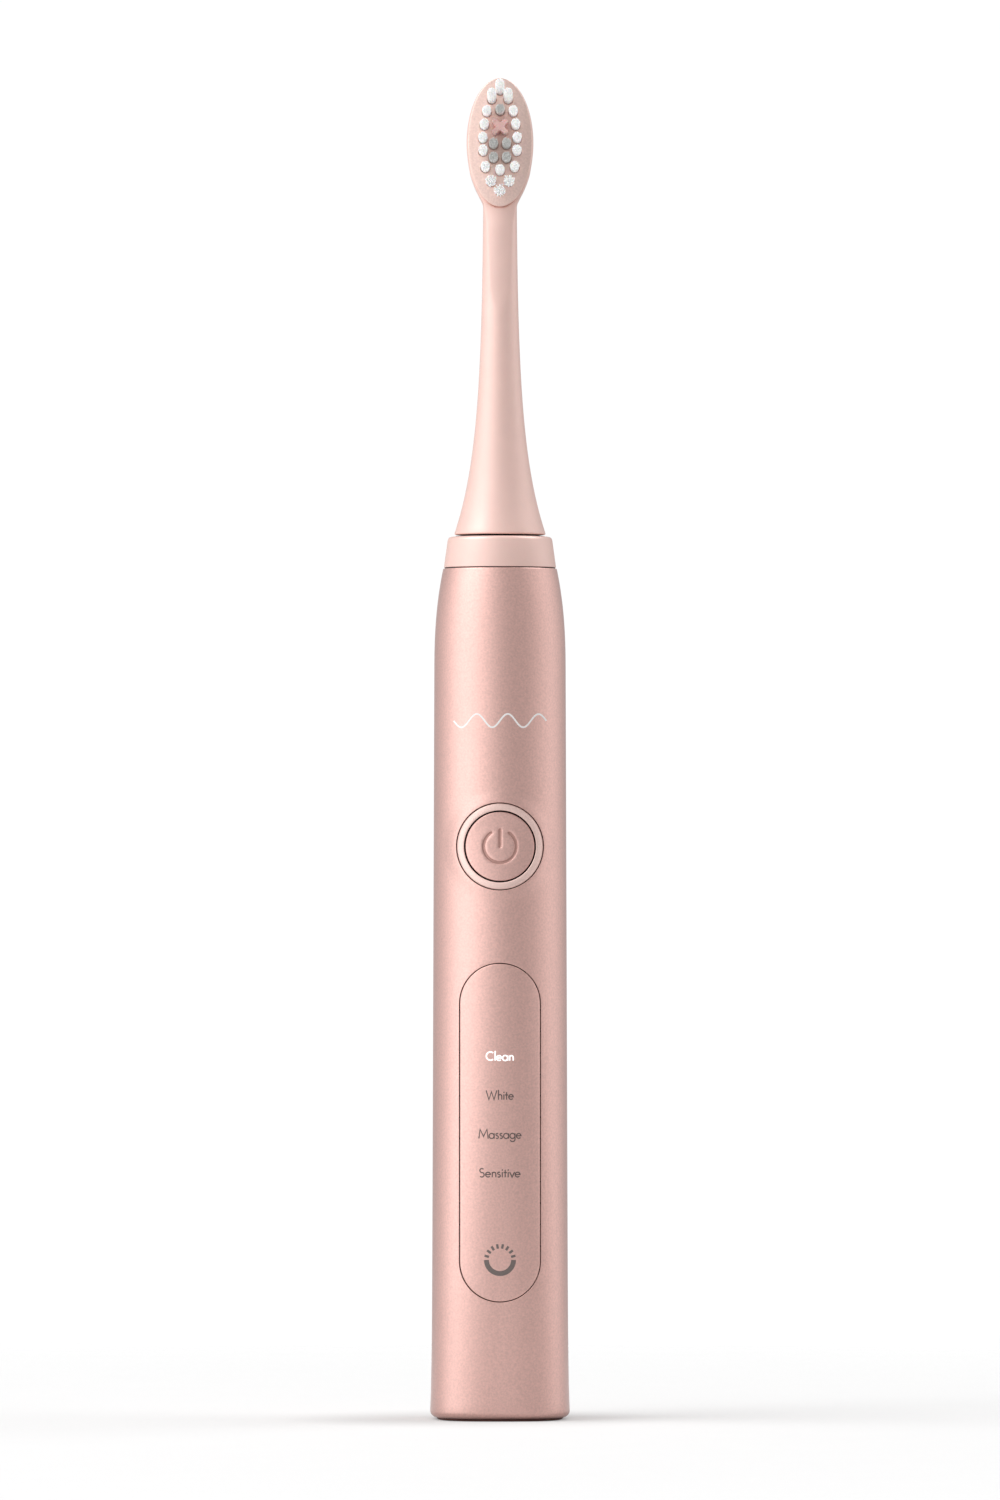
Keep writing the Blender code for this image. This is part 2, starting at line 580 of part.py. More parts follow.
def head_section(height):
    """(half width, depth to the front, depth to the back, squareness) of the neck and head."""
    neck = neck_radius(height)
    half_length = HEAD_TOP - HEAD_MIDDLE
    across = math.sqrt(max(0.0, 1 - ((height - HEAD_MIDDLE) / half_length) ** 2))
    fade = min(1.0, max(0.0, (HEAD_MIDDLE - height) / (6 * MM)))
    half_width = ((HEAD_HALF_WIDTH * across) ** 4 + (neck * fade) ** 4) ** 0.25
    scoop = (height - SCOOP_START) / (SCOOP_END - SCOOP_START)
    into_head = min(1.0, max(0.0, (height - SCOOP_END) / (4 * MM)))
    front = neck + max(0.0, scoop) * (SCOOP_DEPTH_AT_END - neck)
    front = front * (1 - into_head) + 2.6 * MM * into_head
    back = neck + (HEAD_BACK - neck) * min(1.0, max(0.0, (height - SCOOP_START) / (24 * MM)))
    tip = min(1.0, math.sqrt(max(0.0, (HEAD_TOP - height) / (3 * MM))))
    return half_width, front * tip, back * tip, 2 + 2 * into_head


def make_neck_body(axis):
    """The one-piece neck and head, lofted through rings, with its socket and its seat cut out."""
    heights = [h * MM for h in (166.7, 168.5, 171, 174, 178, 183, 190, 198, 209.5, 219, 225, 228.2, 230.2,
                                232.5, 236, 240.5, 245, 248.5, 250.8, 252.1, 252.7)]
    steps = MIDDLE_STEPS
    bm = bmesh.new()
    rings = []
    for height in heights:
        half_width, front, back, power = head_section(height)
        points = []
        for i in range(steps):
            x, y = math.cos(math.tau * i / steps), math.sin(math.tau * i / steps)
            stretch = (abs(x) ** power + abs(y) ** power) ** (-1 / power)
            depth = back if y > 0 else front
            points.append(bm.verts.new((half_width * x * stretch, depth * y * stretch, height)))
        rings.append(points)
    for lower, upper in zip(rings, rings[1:]):
        for i in range(steps):
            j = (i + 1) % steps
            bm.faces.new((lower[i], lower[j], upper[j], upper[i]))
    bm.faces.new(rings[0])
    bm.faces.new(rings[-1])
    neck = piece("neck_body", bm, "blush_plastic", axis)

    wall = 1.15 * MM
    hollow_heights = [h * MM for h in (165, 168, 171, 174, 178, 183, 189)]
    hollow = [(max(3.15 * MM, neck_radius(h) - wall), h) for h in hollow_heights]
    socket = [(0, hollow_heights[0]), *hollow, (3.15 * MM, 194 * MM), (0, 194 * MM)]
    front_space = block((-10 * MM, -10 * MM, SCOOP_END), (10 * MM, HEAD_SEAT, HEAD_TOP + 5 * MM))
    cut(neck,
        helper("neck_hollow", turned(socket, MIDDLE_STEPS)),
        helper("seat_cutter", front_space),
        helper("root_recess", prism(oval(4.9 * MM, 10.9 * MM, HEAD_MIDDLE), -0.4 * MM, -5 * MM)))


def tuft_places(rows):
    """(x, root height, lean) of each tuft, in metres, both sides of the middle."""
    places = []
    for x, height, lean in rows:
        for side in (-1, 1) if x else (1,):
            places.append((side * x * MM, height * MM, lean * MM))
    return places


def tuft_bundle(rows, root, tip):
    """One mesh of separate leaning rods, from y = root to y = tip."""
    bm = bmesh.new()
    for x, height, lean in tuft_places(rows):
        ends = []
        for depth, shift in ((root, 0), (tip, lean)):
            ends.append([bm.verts.new((px, depth, pz + shift))
                         for px, pz in circle(TUFT_RADIUS, (x, height), TUFT_STEPS)])
        for i in range(TUFT_STEPS):
            j = (i + 1) % TUFT_STEPS
            bm.faces.new((ends[0][i], ends[0][j], ends[1][j], ends[1][i]))
        bm.faces.new(ends[0])
        bm.faces.new(ends[1])
    return bm


def hole_bundle():
    """Round cutters through the face plate, one for each tuft and one for the cross's peg."""
    bm = bmesh.new()
    holes = [(TUFT_HOLE_RADIUS, x, height) for x, height, _ in tuft_places(OUTER_TUFTS_MM + INNER_TUFTS_MM)]
    for radius, x, height in [*holes, (PEG_HOLE_RADIUS, 0, CROSS_HEIGHT)]:
        rod = prism(circle(radius, (x, height), TUFT_STEPS), 0, -6 * MM)
        mesh = bpy.data.meshes.new("hole")
        rod.to_mesh(mesh)
        rod.free()
        bm.from_mesh(mesh)
        bpy.data.meshes.remove(mesh)
    return bm


def make_bristles(axis):
    plate = piece("face_plate", prism(oval(PLATE_HALF_WIDTH, PLATE_HALF_LENGTH, HEAD_MIDDLE),
                                      PLATE_BACK, PLATE_FRONT), "rose_bright", axis)
    cut(plate, helper("tuft_holes", hole_bundle()))

    # Each set of tufts is fused at its roots into one thin sheet behind the plate, in a layer of its own.
    outer = piece("outer_tufts", prism(oval(4.6 * MM, 10.55 * MM, HEAD_MIDDLE), -0.7 * MM, -1.0 * MM),
                  "white_nylon", axis)
    join(outer, helper("outer_rods", tuft_bundle(OUTER_TUFTS_MM, -0.85 * MM, OUTER_TIP)))
    inner = piece("inner_tufts", block((-1.3 * MM, -1.6 * MM, 236.8 * MM), (1.3 * MM, -1.3 * MM, 246.7 * MM)),
                  "grey_nylon", axis)
    join(inner, helper("inner_rods", tuft_bundle(INNER_TUFTS_MM, -1.45 * MM, INNER_TIP)))
    cut(inner, helper("peg_clearance", prism(circle(PEG_HOLE_RADIUS, (0, CROSS_HEIGHT), SMALL_STEPS),
                                             0, -6 * MM)))

    cross = piece("massage_cross", block((-1.65 * MM, -8.6 * MM, -0.4 * MM), (1.65 * MM, -3.3 * MM, 0.4 * MM)),
                  "blush_rubber", axis, (0, 0, CROSS_HEIGHT), (0, math.radians(45), 0))
    join(cross,
         helper("cross_arm", block((-1.65 * MM, -8.6 * MM, -0.4 * MM), (1.65 * MM, -3.3 * MM, 0.4 * MM)),
                (0, 0, CROSS_HEIGHT), (0, math.radians(-45), 0)),
         helper("cross_peg", prism(circle(0.8 * MM, (0, CROSS_HEIGHT), SMALL_STEPS), -1.7 * MM, -5 * MM)))


def make_shaft_socket(axis):
    socket = turned(millimetres((0, 190.4), (1.95, 190.4), (1.95, 168.2), (6.2, 168.2), (6.2, 169.2),
                                (3.4, 170.6), (2.85, 172.0), (2.85, 193.6), (0, 193.6)), SMALL_STEPS)
    piece("shaft_socket", socket, "inner_plastic", axis)
    clip = piece("retention_clip", ring(3.2 * MM, 3.7 * MM, 173 * MM, 176.5 * MM, SMALL_STEPS), "steel", axis)
    cut(clip, helper("clip_opening", block((-1 * MM, 0, 170 * MM), (1 * MM, 10 * MM, 180 * MM))))


def main():
    clear_scene()
    make_handle_shell()
    make_button_group()
    make_display_group()
    make_base_group()
    make_battery_group()
    make_chassis()
    make_board_group()
    make_leads()
    make_collar_group()
    make_motor_frame()
    make_stator()
    make_drive(joint_empty("drive_axis", (0, 0, 0)))
    head_axis = joint_empty("brush_head_axis", (0, 0, 0))
    make_neck_body(head_axis)
    make_bristles(head_axis)
    make_shaft_socket(head_axis)


main()
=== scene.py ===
"""The looks of a sonic electric toothbrush: its visible pieces, their finishes, and the studio round it.

Lengths inside this script are millimetres, and become metres as each mesh is made. The frame is the
CAD's: +Z up, the origin in the middle of the base, the front facing -Y.
"""

import math

import bmesh
import bpy
import numpy as np
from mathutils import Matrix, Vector
from mathutils.geometry import delaunay_2d_cdt


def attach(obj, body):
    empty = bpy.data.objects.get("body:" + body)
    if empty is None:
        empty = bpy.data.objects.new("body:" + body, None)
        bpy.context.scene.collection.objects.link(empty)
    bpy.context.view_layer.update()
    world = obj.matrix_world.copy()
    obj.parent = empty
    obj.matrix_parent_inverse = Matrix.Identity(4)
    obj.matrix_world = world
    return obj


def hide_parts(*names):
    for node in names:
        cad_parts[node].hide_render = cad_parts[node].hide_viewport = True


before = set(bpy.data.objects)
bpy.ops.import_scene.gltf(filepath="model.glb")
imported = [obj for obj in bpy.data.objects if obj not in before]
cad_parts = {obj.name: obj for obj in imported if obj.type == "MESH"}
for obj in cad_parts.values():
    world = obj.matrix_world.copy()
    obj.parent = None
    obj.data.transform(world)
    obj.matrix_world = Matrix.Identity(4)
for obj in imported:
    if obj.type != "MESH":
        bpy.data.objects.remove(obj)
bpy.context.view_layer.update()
MM = 0.001

# ---- the handle's form, as in the CAD

SHELL_BOTTOM, SHELL_TOP = 0.42, 160.2
FOOT_ROUNDING = 1.2
FOOT_TOP = SHELL_BOTTOM + FOOT_ROUNDING
RIM_ROUNDING = 0.2
WALL, BORE_RADIUS = 1.1, 11.45
BUTTON_HEIGHT = 107.8
HANDLE_RADIUS = 12.5  # at the button
TAPER = 0.364  # how much wider the foot is, growing evenly from the button down
FLARE, FLARE_HEIGHT = 0.38, 6.8  # the foot's last widening, and how high it fades
SHOULDER_START, SHOULDER_LENGTH, SHOULDER_DROP, SHOULDER_BEND = 141.5, 18.7, 1.62, 2.4
SQUARENESS, SQUARE_BELOW, SQUARE_SPAN, SQUARE_BEND = 0.75, 97, 87, 1.5
AROUND = 144  # columns round the handle


def zipped(*parts):
    """Arrays of coordinates as one array of points."""
    return np.stack(parts, -1)


def radius(z):
    """The handle's outside."""
    z = np.asarray(z, float)
    along = np.clip((z - SHOULDER_START) / SHOULDER_LENGTH, 0, None)
    return (HANDLE_RADIUS + TAPER * (1 - z / BUTTON_HEIGHT) + FLARE * np.exp(-z / FLARE_HEIGHT)
            - SHOULDER_DROP * along**SHOULDER_BEND)


def bore(z):
    """The shell's inside."""
    return np.minimum(BORE_RADIUS, radius(z) - WALL)


def power(z):
    """2 for a round section, more for a squarer one."""
    below = np.clip((SQUARE_BELOW - np.asarray(z, float)) / SQUARE_SPAN, 0, None)
    return 2 + SQUARENESS * below**SQUARE_BEND


def round_section(theta, r, z):
    """The point at angle theta from the front on a round section of that radius."""
    return zipped(r * np.sin(theta), -r * np.cos(theta), z + 0 * theta)


def squared(theta, r, z):
    """The same on a section that is as square as the handle is at that height."""
    n = power(z)
    grow = (np.abs(np.sin(theta)) ** n + np.abs(np.cos(theta)) ** n) ** (-1 / n)
    return zipped(r * grow * np.sin(theta), -r * grow * np.cos(theta), z + 0 * r * grow)


def front_y(x, z, r):
    """How far forward the section of radius r comes at x."""
    n = power(z)
    return -np.maximum(r**n - np.abs(x) ** n, 0) ** (1 / n)


def on_front(xz, lift=0.0, inside=False):
    """Points of the handle's front, lifted off it, that keep their place as seen from the front."""
    xz = np.asarray(xz, float).reshape(-1, 2)
    r = bore(xz[:, 1]) if inside else radius(xz[:, 1]) + lift
    return zipped(xz[:, 0], front_y(xz[:, 0], xz[:, 1], r), xz[:, 1])


def angle_of(points):
    """The angle from the front."""
    return np.arctan2(points[:, 0], -points[:, 1])


def circle(angles):
    """Points round a circle of radius 1."""
    return zipped(np.cos(angles), np.sin(angles))


def pairs(xs, zs):
    """Every x with every z, as rows of points."""
    return zipped(*np.meshgrid(xs, zs)).reshape(-1, 2)


def smooth_step(t):
    t = np.clip(t, 0, 1)
    return t * t * (3 - 2 * t)


# ---- building meshes

SCENE = bpy.context.scene
JOIN_WITHIN = 2e-7  # metres
SHARP_CORNER = math.radians(38)


def placed(name, data):
    """A new object in the scene."""
    obj = bpy.data.objects.new(name, data)
    SCENE.collection.objects.link(obj)
    return obj


class Shape:
    """Gathers one piece's surfaces. Surfaces of the same group are smooth across their joins."""

    def __init__(self):
        self.points, self.faces, self.groups, self.count = [], [], [], 0

    def add(self, points, faces, group=0):
        points = np.asarray(points, float).reshape(-1, 3)
        self.points.append(points)
        self.faces += [tuple(self.count + i for i in face) for face in faces]
        self.groups += [group] * len(faces)
        self.count += len(points)

    def grid(self, points, group=0):
        """Quads over rows of points."""
        rows, columns = points.shape[:2]
        faces = []
        for i in range(rows - 1):
            a = i * columns
            faces += [(a + j, a + j + 1, a + columns + j + 1, a + columns + j) for j in range(columns - 1)]
        self.add(points, faces, group)

    def bridge(self, loop_a, loop_b, group):
        """A wall between two closed loops of as many points."""
        rows = np.stack([loop_a, loop_b])
        self.grid(np.concatenate([rows, rows[:, :1]], 1), group)

    def mesh(self, name, *materials):
        mesh = bpy.data.meshes.new(name)
        mesh.from_pydata(np.vstack(self.points) * MM, [], self.faces)
        for material in materials:
            mesh.materials.append(material)
        return mesh

    def piece(self, name, material, body, replaces=None, slot=None, walls=()):
        """Makes the object. The groups in walls get a dark finish: painted shade for the shadowed sides of a
        gap.
        """
        mesh = self.mesh(name, material, *[GAP_PAINTED_SHADE] * bool(walls))
        bm = bmesh.new()
        bm.from_mesh(mesh)
        layer = bm.faces.layers.int.new("group")
        for face, group in zip(bm.faces, self.groups):
            face[layer] = group
            face.smooth = True
            face.material_index = int(group in walls)
        bmesh.ops.remove_doubles(bm, verts=bm.verts, dist=JOIN_WITHIN)
        bmesh.ops.recalc_face_normals(bm, faces=bm.faces)
        for edge in bm.edges:
            sides = [face[layer] for face in edge.link_faces]
            edge.smooth = len(sides) == 2 and sides[0] == sides[1]
        bm.faces.layers.int.remove(bm.faces.layers.int["group"])
        bm.to_mesh(mesh)
        bm.free()
        obj = placed(name, mesh)
        if replaces:
            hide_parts(replaces)
        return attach(obj, body)


def sheet(shape, loops, spots, keep, group, clear=0.3):
    """One surface over closed loops and loose spots, each a pair (flat places, points in space).

    keep says which triangles stay, by their middles. A spot nearer to a loop than clear is left out.
    """
    flat, space = zip(*loops)
    starts = np.cumsum([0] + [len(f) for f in flat])
    edges = []
    for a, b in zip(starts, starts[1:]):
        numbers = list(range(a, b))
        edges += zip(numbers, numbers[1:] + numbers[:1])
    rims = np.vstack(flat)
    gaps = np.array([np.hypot(*(rims - p).T).min() for p in spots[0]])
    spot_flat, spot_space = (each[gaps > clear] for each in spots)
    flat = np.vstack([rims, spot_flat])
    _, _, faces, sources, _, _ = delaunay_2d_cdt([Vector(p) for p in flat], edges, [], 0, 1e-6)
    faces = np.array([[sources[i][0] for i in face] for face in faces])
    shape.add(np.vstack([*space, spot_space]), faces[keep(flat[faces].mean(1))].tolist(), group)


def rounding(r, steps=4):
    """(distance in from the edge, depth) along a rounded edge, starting at the edge."""
    angles = np.radians(np.linspace(0, 90, steps + 1))
    return [(r * (1 - math.cos(a)), r * (1 - math.sin(a))) for a in angles]


class Band:
    """All that lies within half_width of a line of (x, z) points."""

    def __init__(self, line, half_width, step=0.3):
        self.line, self.half_width, self.step = np.asarray(line, float), half_width, step

    def inset(self, x, z):
        """The distance in from the edge, negative outside."""
        p = zipped(x, z)
        best = np.full(np.shape(x), 1e9)
        for a, b in list(zip(self.line, self.line[1:])) or [(self.line[0], self.line[0])]:
            along = b - a
            t = np.clip(((p - a) @ along) / max(along @ along, 1e-12), 0, 1)
            best = np.minimum(best, np.hypot(*np.moveaxis(p - a - t[..., None] * along, -1, 0)))
        return self.half_width - best

    def outline(self, inset=0.0):
        """The loop of points that far in from the edge: along one side, round the end, and back.

        Every loop of a band has as many points.
        """
        r, line, loop = self.half_width - inset, self.line, []
        turns = max(6, int(math.pi * self.half_width / self.step))
        if len(line) == 1:
            return line[0] + r * circle(np.linspace(0, math.tau, 2 * turns, endpoint=False))

        def add(point, heading):
            loop.append(point + r * np.array([math.cos(heading), math.sin(heading)]))

        for side in (line, line[::-1]):
            ways = np.gradient(side, axis=0)
            headings = np.arctan2(ways[:, 1], ways[:, 0]) - math.pi / 2
            pieces = max(1, int(math.dist(side[0], side[1]) / self.step)) if len(side) == 2 else 1
            for k in range(pieces):
                add(side[0] + (side[1] - side[0]) * k / pieces, headings[0])
            for point, heading in zip(side[1:], headings[1:]):
                add(point, heading)
            for k in range(1, turns):
                add(side[-1], headings[-1] + math.pi * k / turns)
        return np.array(loop)


def softened(profile, steps=4):
    """(radius, height[, rounding]) corners, each turned into a short curve where it has a rounding."""
    corners = [(*p, 0)[:3] for p in profile]
    closed = corners[0][0] > 0
    out = []
    for i, (x, z, r) in enumerate(corners):
        here = np.array([x, z])
        if r <= 0 or (not closed and i in (0, len(corners) - 1)):
            out.append(here)
            continue
        before = np.array(corners[i - 1][:2]) - here
        after = np.array(corners[(i + 1) % len(corners)][:2]) - here
        a = here + before * min(r / np.hypot(*before), 0.45)
        b = here + after * min(r / np.hypot(*after), 0.45)
        for t in np.linspace(0, 1, steps + 1):
            out.append(a * (1 - t) ** 2 + here * 2 * t * (1 - t) + b * t**2)
    return np.array(out), closed


def turned(profile, columns, square_beyond=math.inf):
    """A profile turned round Z. A new smooth group starts at each sharp corner."""
    shape = Shape()
    points, closed = softened(profile)
    if closed:
        points = np.vstack([points, points[:1]])
    theta = np.linspace(-math.pi, math.pi, columns + 1)
    group, run = 0, [points[0]]
    for i in range(1, len(points)):
        run.append(points[i])
        ends = i == len(points) - 1
        if not ends:
            a, b = points[i] - points[i - 1], points[i + 1] - points[i]
            ends = a @ b < math.cos(SHARP_CORNER) * np.hypot(*a) * np.hypot(*b)
        if ends:
            r, z = np.array(run)[:, :1], np.array(run)[:, 1:]
            shape.grid(np.where((r > square_beyond)[..., None], squared(theta + 0 * r, r, z + 0 * theta),
                                round_section(theta, r, z)), group)
            group += 1
            run = [points[i]]
    return shape


def pointed_forward(shape, start, height):
    """Lays a shape that was turned round Z along -Y, from y = -start, with its middle at that height."""
    shape.points = [zipped(p[:, 0], -start - p[:, 2], height + p[:, 1]) for p in shape.points]
    return shape


# ---- finishes


def add_node(tree, kind, inputs=(), **settings):
    """A new shader node. Each input is a number, a tuple or another node's output."""
    node = tree.nodes.new("ShaderNode" + kind)
    for name, value in settings.items():
        setattr(node, name, value)
    for socket, value in dict(inputs).items():
        if isinstance(value, bpy.types.NodeSocket):
            tree.links.new(value, node.inputs[socket])
        else:
            node.inputs[socket].default_value = value
    return node


ROUGH_SPREAD = 0.05


def finish(name, colour, roughness, mottle, grain=(), metallic=0.0, stretch=(1, 1, 1), **sockets):
    """A procedural finish: a colour and roughness that vary a little, over a fine bump.

    mottle is (scale, share of the colour) and grain a list of (scale, height in micrometres). Other
    sockets of the shader are set by name, with _ for a space.
    """
    material = bpy.data.materials.new(name)
    material.use_nodes = True
    tree = material.node_tree
    shader = tree.nodes["Principled BSDF"]
    shader.inputs["Metallic"].default_value = metallic
    for socket, value in sockets.items():
        shader.inputs[socket.replace("_", " ")].default_value = value
    place = add_node(tree, "TexCoord").outputs["Object"]
    mapping = add_node(tree, "Mapping", {"Scale": stretch, "Vector": place})

    def noise(scale, detail=2.0):
        return add_node(tree, "TexNoise", {"Scale": scale, "Detail": detail,
                                           "Vector": mapping.outputs["Vector"]}).outputs["Fac"]

    ramp = add_node(tree, "ValToRGB", {"Fac": noise(mottle[0])})
    for element, position, shade in zip(ramp.color_ramp.elements, (0.3, 0.7), (1 - mottle[1], 1 + mottle[1])):
        element.position, element.color = position, (*[min(1, c * shade) for c in colour], 1)
    tree.links.new(ramp.outputs["Color"], shader.inputs["Base Color"])
    spread = add_node(tree, "MapRange", {"Value": noise(mottle[0] * 1.7), "To Min": roughness - ROUGH_SPREAD,
                                         "To Max": roughness + ROUGH_SPREAD})
    tree.links.new(spread.outputs["Result"], shader.inputs["Roughness"])
    under = {}
    for scale, height in grain:
        bump = add_node(tree, "Bump", {"Distance": height * 1e-6, "Height": noise(scale, 3.0), **under})
        under = {"Normal": bump.outputs["Normal"]}
    if under:
        tree.links.new(under["Normal"], shader.inputs["Normal"])
    return material


ROSE_SHELL = finish("rose_metallic_lacquer", (0.835, 0.522, 0.467), 0.42, (2600, 0.085),
                    [(2600, 9), (900, 10)], metallic=0.9, Coat_Weight=0.8, Coat_Roughness=0.28)
# Darker rose for the power symbol's groove: the engraving's own darker tone, and painted shade in the recess.
ROSE_ENGRAVED_PAINTED_SHADE = finish("rose_engraved_groove_painted_shade", (0.56, 0.33, 0.29), 0.55, (3800, 0.05), [(3000, 8)],
                       metallic=0.8, Coat_Weight=0.2, Coat_Roughness=0.4)
ROSE_RING = finish("rose_satin_ring", (0.93, 0.68, 0.62), 0.5, (3000, 0.05), [(3000, 6)], metallic=0.6,
                   Coat_Weight=0.3, Coat_Roughness=0.35)
ROSE_PLATE = finish("rose_satin_plate", (0.95, 0.70, 0.63), 0.45, (2600, 0.07), [(2600, 8)], metallic=0.8,
                    Coat_Weight=0.4, Coat_Roughness=0.35)
# Dark rose for the walls of gaps: painted shade, where the sides of a gap fall in shadow.
GAP_PAINTED_SHADE = finish("rose_gap_painted_shade", (0.24, 0.06, 0.04), 0.7, (3000, 0.1), [(3000, 6)], metallic=0.2)
# A dark rose for the base cap, whose rim shows as a thin line under the shell's foot: painted shade for that
# shadowed gap.
BASE_ROSE_PAINTED_SHADE = finish("dark_rose_base_painted_shade", (0.22, 0.10, 0.085), 0.5, (900, 0.08), [(2200, 8)], metallic=0.3)
BLUSH = finish("blush_moulded_plastic", (0.885, 0.605, 0.54), 0.34, (300, 0.015), [(2500, 3)], metallic=0.2,
               Specular_IOR_Level=0.95, Subsurface_Weight=0.03, Subsurface_Scale=0.001)
BLUSH_RUBBER = finish("blush_soft_rubber", (0.88, 0.57, 0.53), 0.5, (900, 0.04), [(5000, 6)],
                      Subsurface_Weight=0.2, Subsurface_Scale=0.0015)
# The nylon finishes carry a faint emission: painted light that brightens the tufts, which are no lamp.
WHITE_NYLON_PAINTED_GLOW = finish("white_nylon_filaments_painted_glow", (0.975, 0.975, 0.97), 0.4, (5000, 0.03), [(9000, 4)],
                     Subsurface_Weight=0.15, Subsurface_Scale=0.0008, Emission_Color=(1, 1, 1, 1),
                     Emission_Strength=0.11)
GREY_NYLON_PAINTED_GLOW = finish("grey_nylon_filaments_painted_glow", (0.68, 0.68, 0.665), 0.45, (5000, 0.3), [(9000, 4)],
                    Emission_Color=(1, 1, 0.98, 1), Emission_Strength=0.07)
STEEL = finish("turned_steel", (0.62, 0.61, 0.60), 0.26, (700, 0.05), [(2600, 3)], metallic=1.0,
               stretch=(1, 1, 14))
STATOR_STEEL = finish("laminated_steel", (0.38, 0.38, 0.40), 0.4, (400, 0.2), [(400, 30)], metallic=1.0,
                      stretch=(1, 1, 12))
MAGNET = finish("nickel_plated_magnet", (0.55, 0.54, 0.52), 0.22, (500, 0.06), [(2000, 4)], metallic=1.0)
COPPER = finish("enamelled_copper_winding", (0.78, 0.33, 0.14), 0.3, (900, 0.15), [(2600, 40)], metallic=1.0,
                stretch=(1, 1, 4), Coat_Weight=0.5)
NICKEL = finish("nickel_strip", (0.72, 0.69, 0.62), 0.3, (900, 0.06), [(3000, 4)], metallic=1.0)
BATTERY_WRAP = finish("battery_sleeve", (0.05, 0.20, 0.42), 0.32, (150, 0.1), [(350, 25)], Coat_Weight=0.3)
BLACK_RUBBER = finish("black_moulded_rubber", (0.018, 0.017, 0.017), 0.6, (1500, 0.3), [(4000, 8)])
INNER_PLASTIC = finish("natural_moulded_plastic", (0.60, 0.59, 0.56), 0.5, (250, 0.05), [(1800, 10)])
DARK_PLASTIC = finish("dark_moulded_plastic", (0.03, 0.03, 0.033), 0.45, (600, 0.2), [(2400, 8)])
BOARD = finish("green_solder_mask", (0.015, 0.15, 0.06), 0.35, (420, 0.35), [(1300, 12)], Coat_Weight=0.4)
LED = finish("diffused_led", (0.90, 0.88, 0.78), 0.3, (2000, 0.05), [(4000, 5)], Subsurface_Weight=0.3,
             Subsurface_Scale=0.0005)
BRONZE = finish("sintered_bronze", (0.55, 0.34, 0.15), 0.42, (2600, 0.2), [(2600, 15)], metallic=1.0)
BLACK_WIRE = finish("black_wire_insulation", (0.03, 0.03, 0.03), 0.4, (800, 0.2), [(2000, 6)])
RED_WIRE = finish("red_wire_insulation", (0.50, 0.03, 0.02), 0.4, (800, 0.1), [(2000, 6)])
GREY_PRINT = finish("grey_print", (0.14, 0.105, 0.097), 0.5, (3000, 0.1), [(3000, 2)], metallic=0.3)
GAUGE_PRINT = finish("grey_gauge_print", (0.19, 0.155, 0.145), 0.5, (3000, 0.06), [(3000, 2)], metallic=0.3)
WHITE_PRINT = finish("white_print", (0.92, 0.90, 0.89), 0.4, (3000, 0.03), [(3000, 2)])
LIT_LABEL = finish("lit_label", (0.95, 0.93, 0.92), 0.4, (3000, 0.02), Emission_Color=(1, 0.98, 0.97, 1),
                   Emission_Strength=0.5)

# ---- handle shell

BEZEL_HOLE = Band([(0, BUTTON_HEIGHT)], 8.24)
PANEL_MIDDLE_LINE = [(0, 30.0), (0, 78.3)]
PANEL_HOLE = Band(PANEL_MIDDLE_LINE, 7.66, step=0.4)
HOLE_ROUNDING = 0.10
FRONT = 1.2  # radians on each side of the middle that hold both holes
SWELL, SWELL_WIDTH = 0.26, 2.5  # the skin swells up to the button's ring
SWELL_SHARES = (0.12, 0.28, 0.45, 0.62, 0.8, 1.0)


def swell(outside):
    """How far the skin stands up that far outside the ring's hole."""
    return SWELL * (1 - smooth_step((outside - HOLE_ROUNDING) / SWELL_WIDTH))


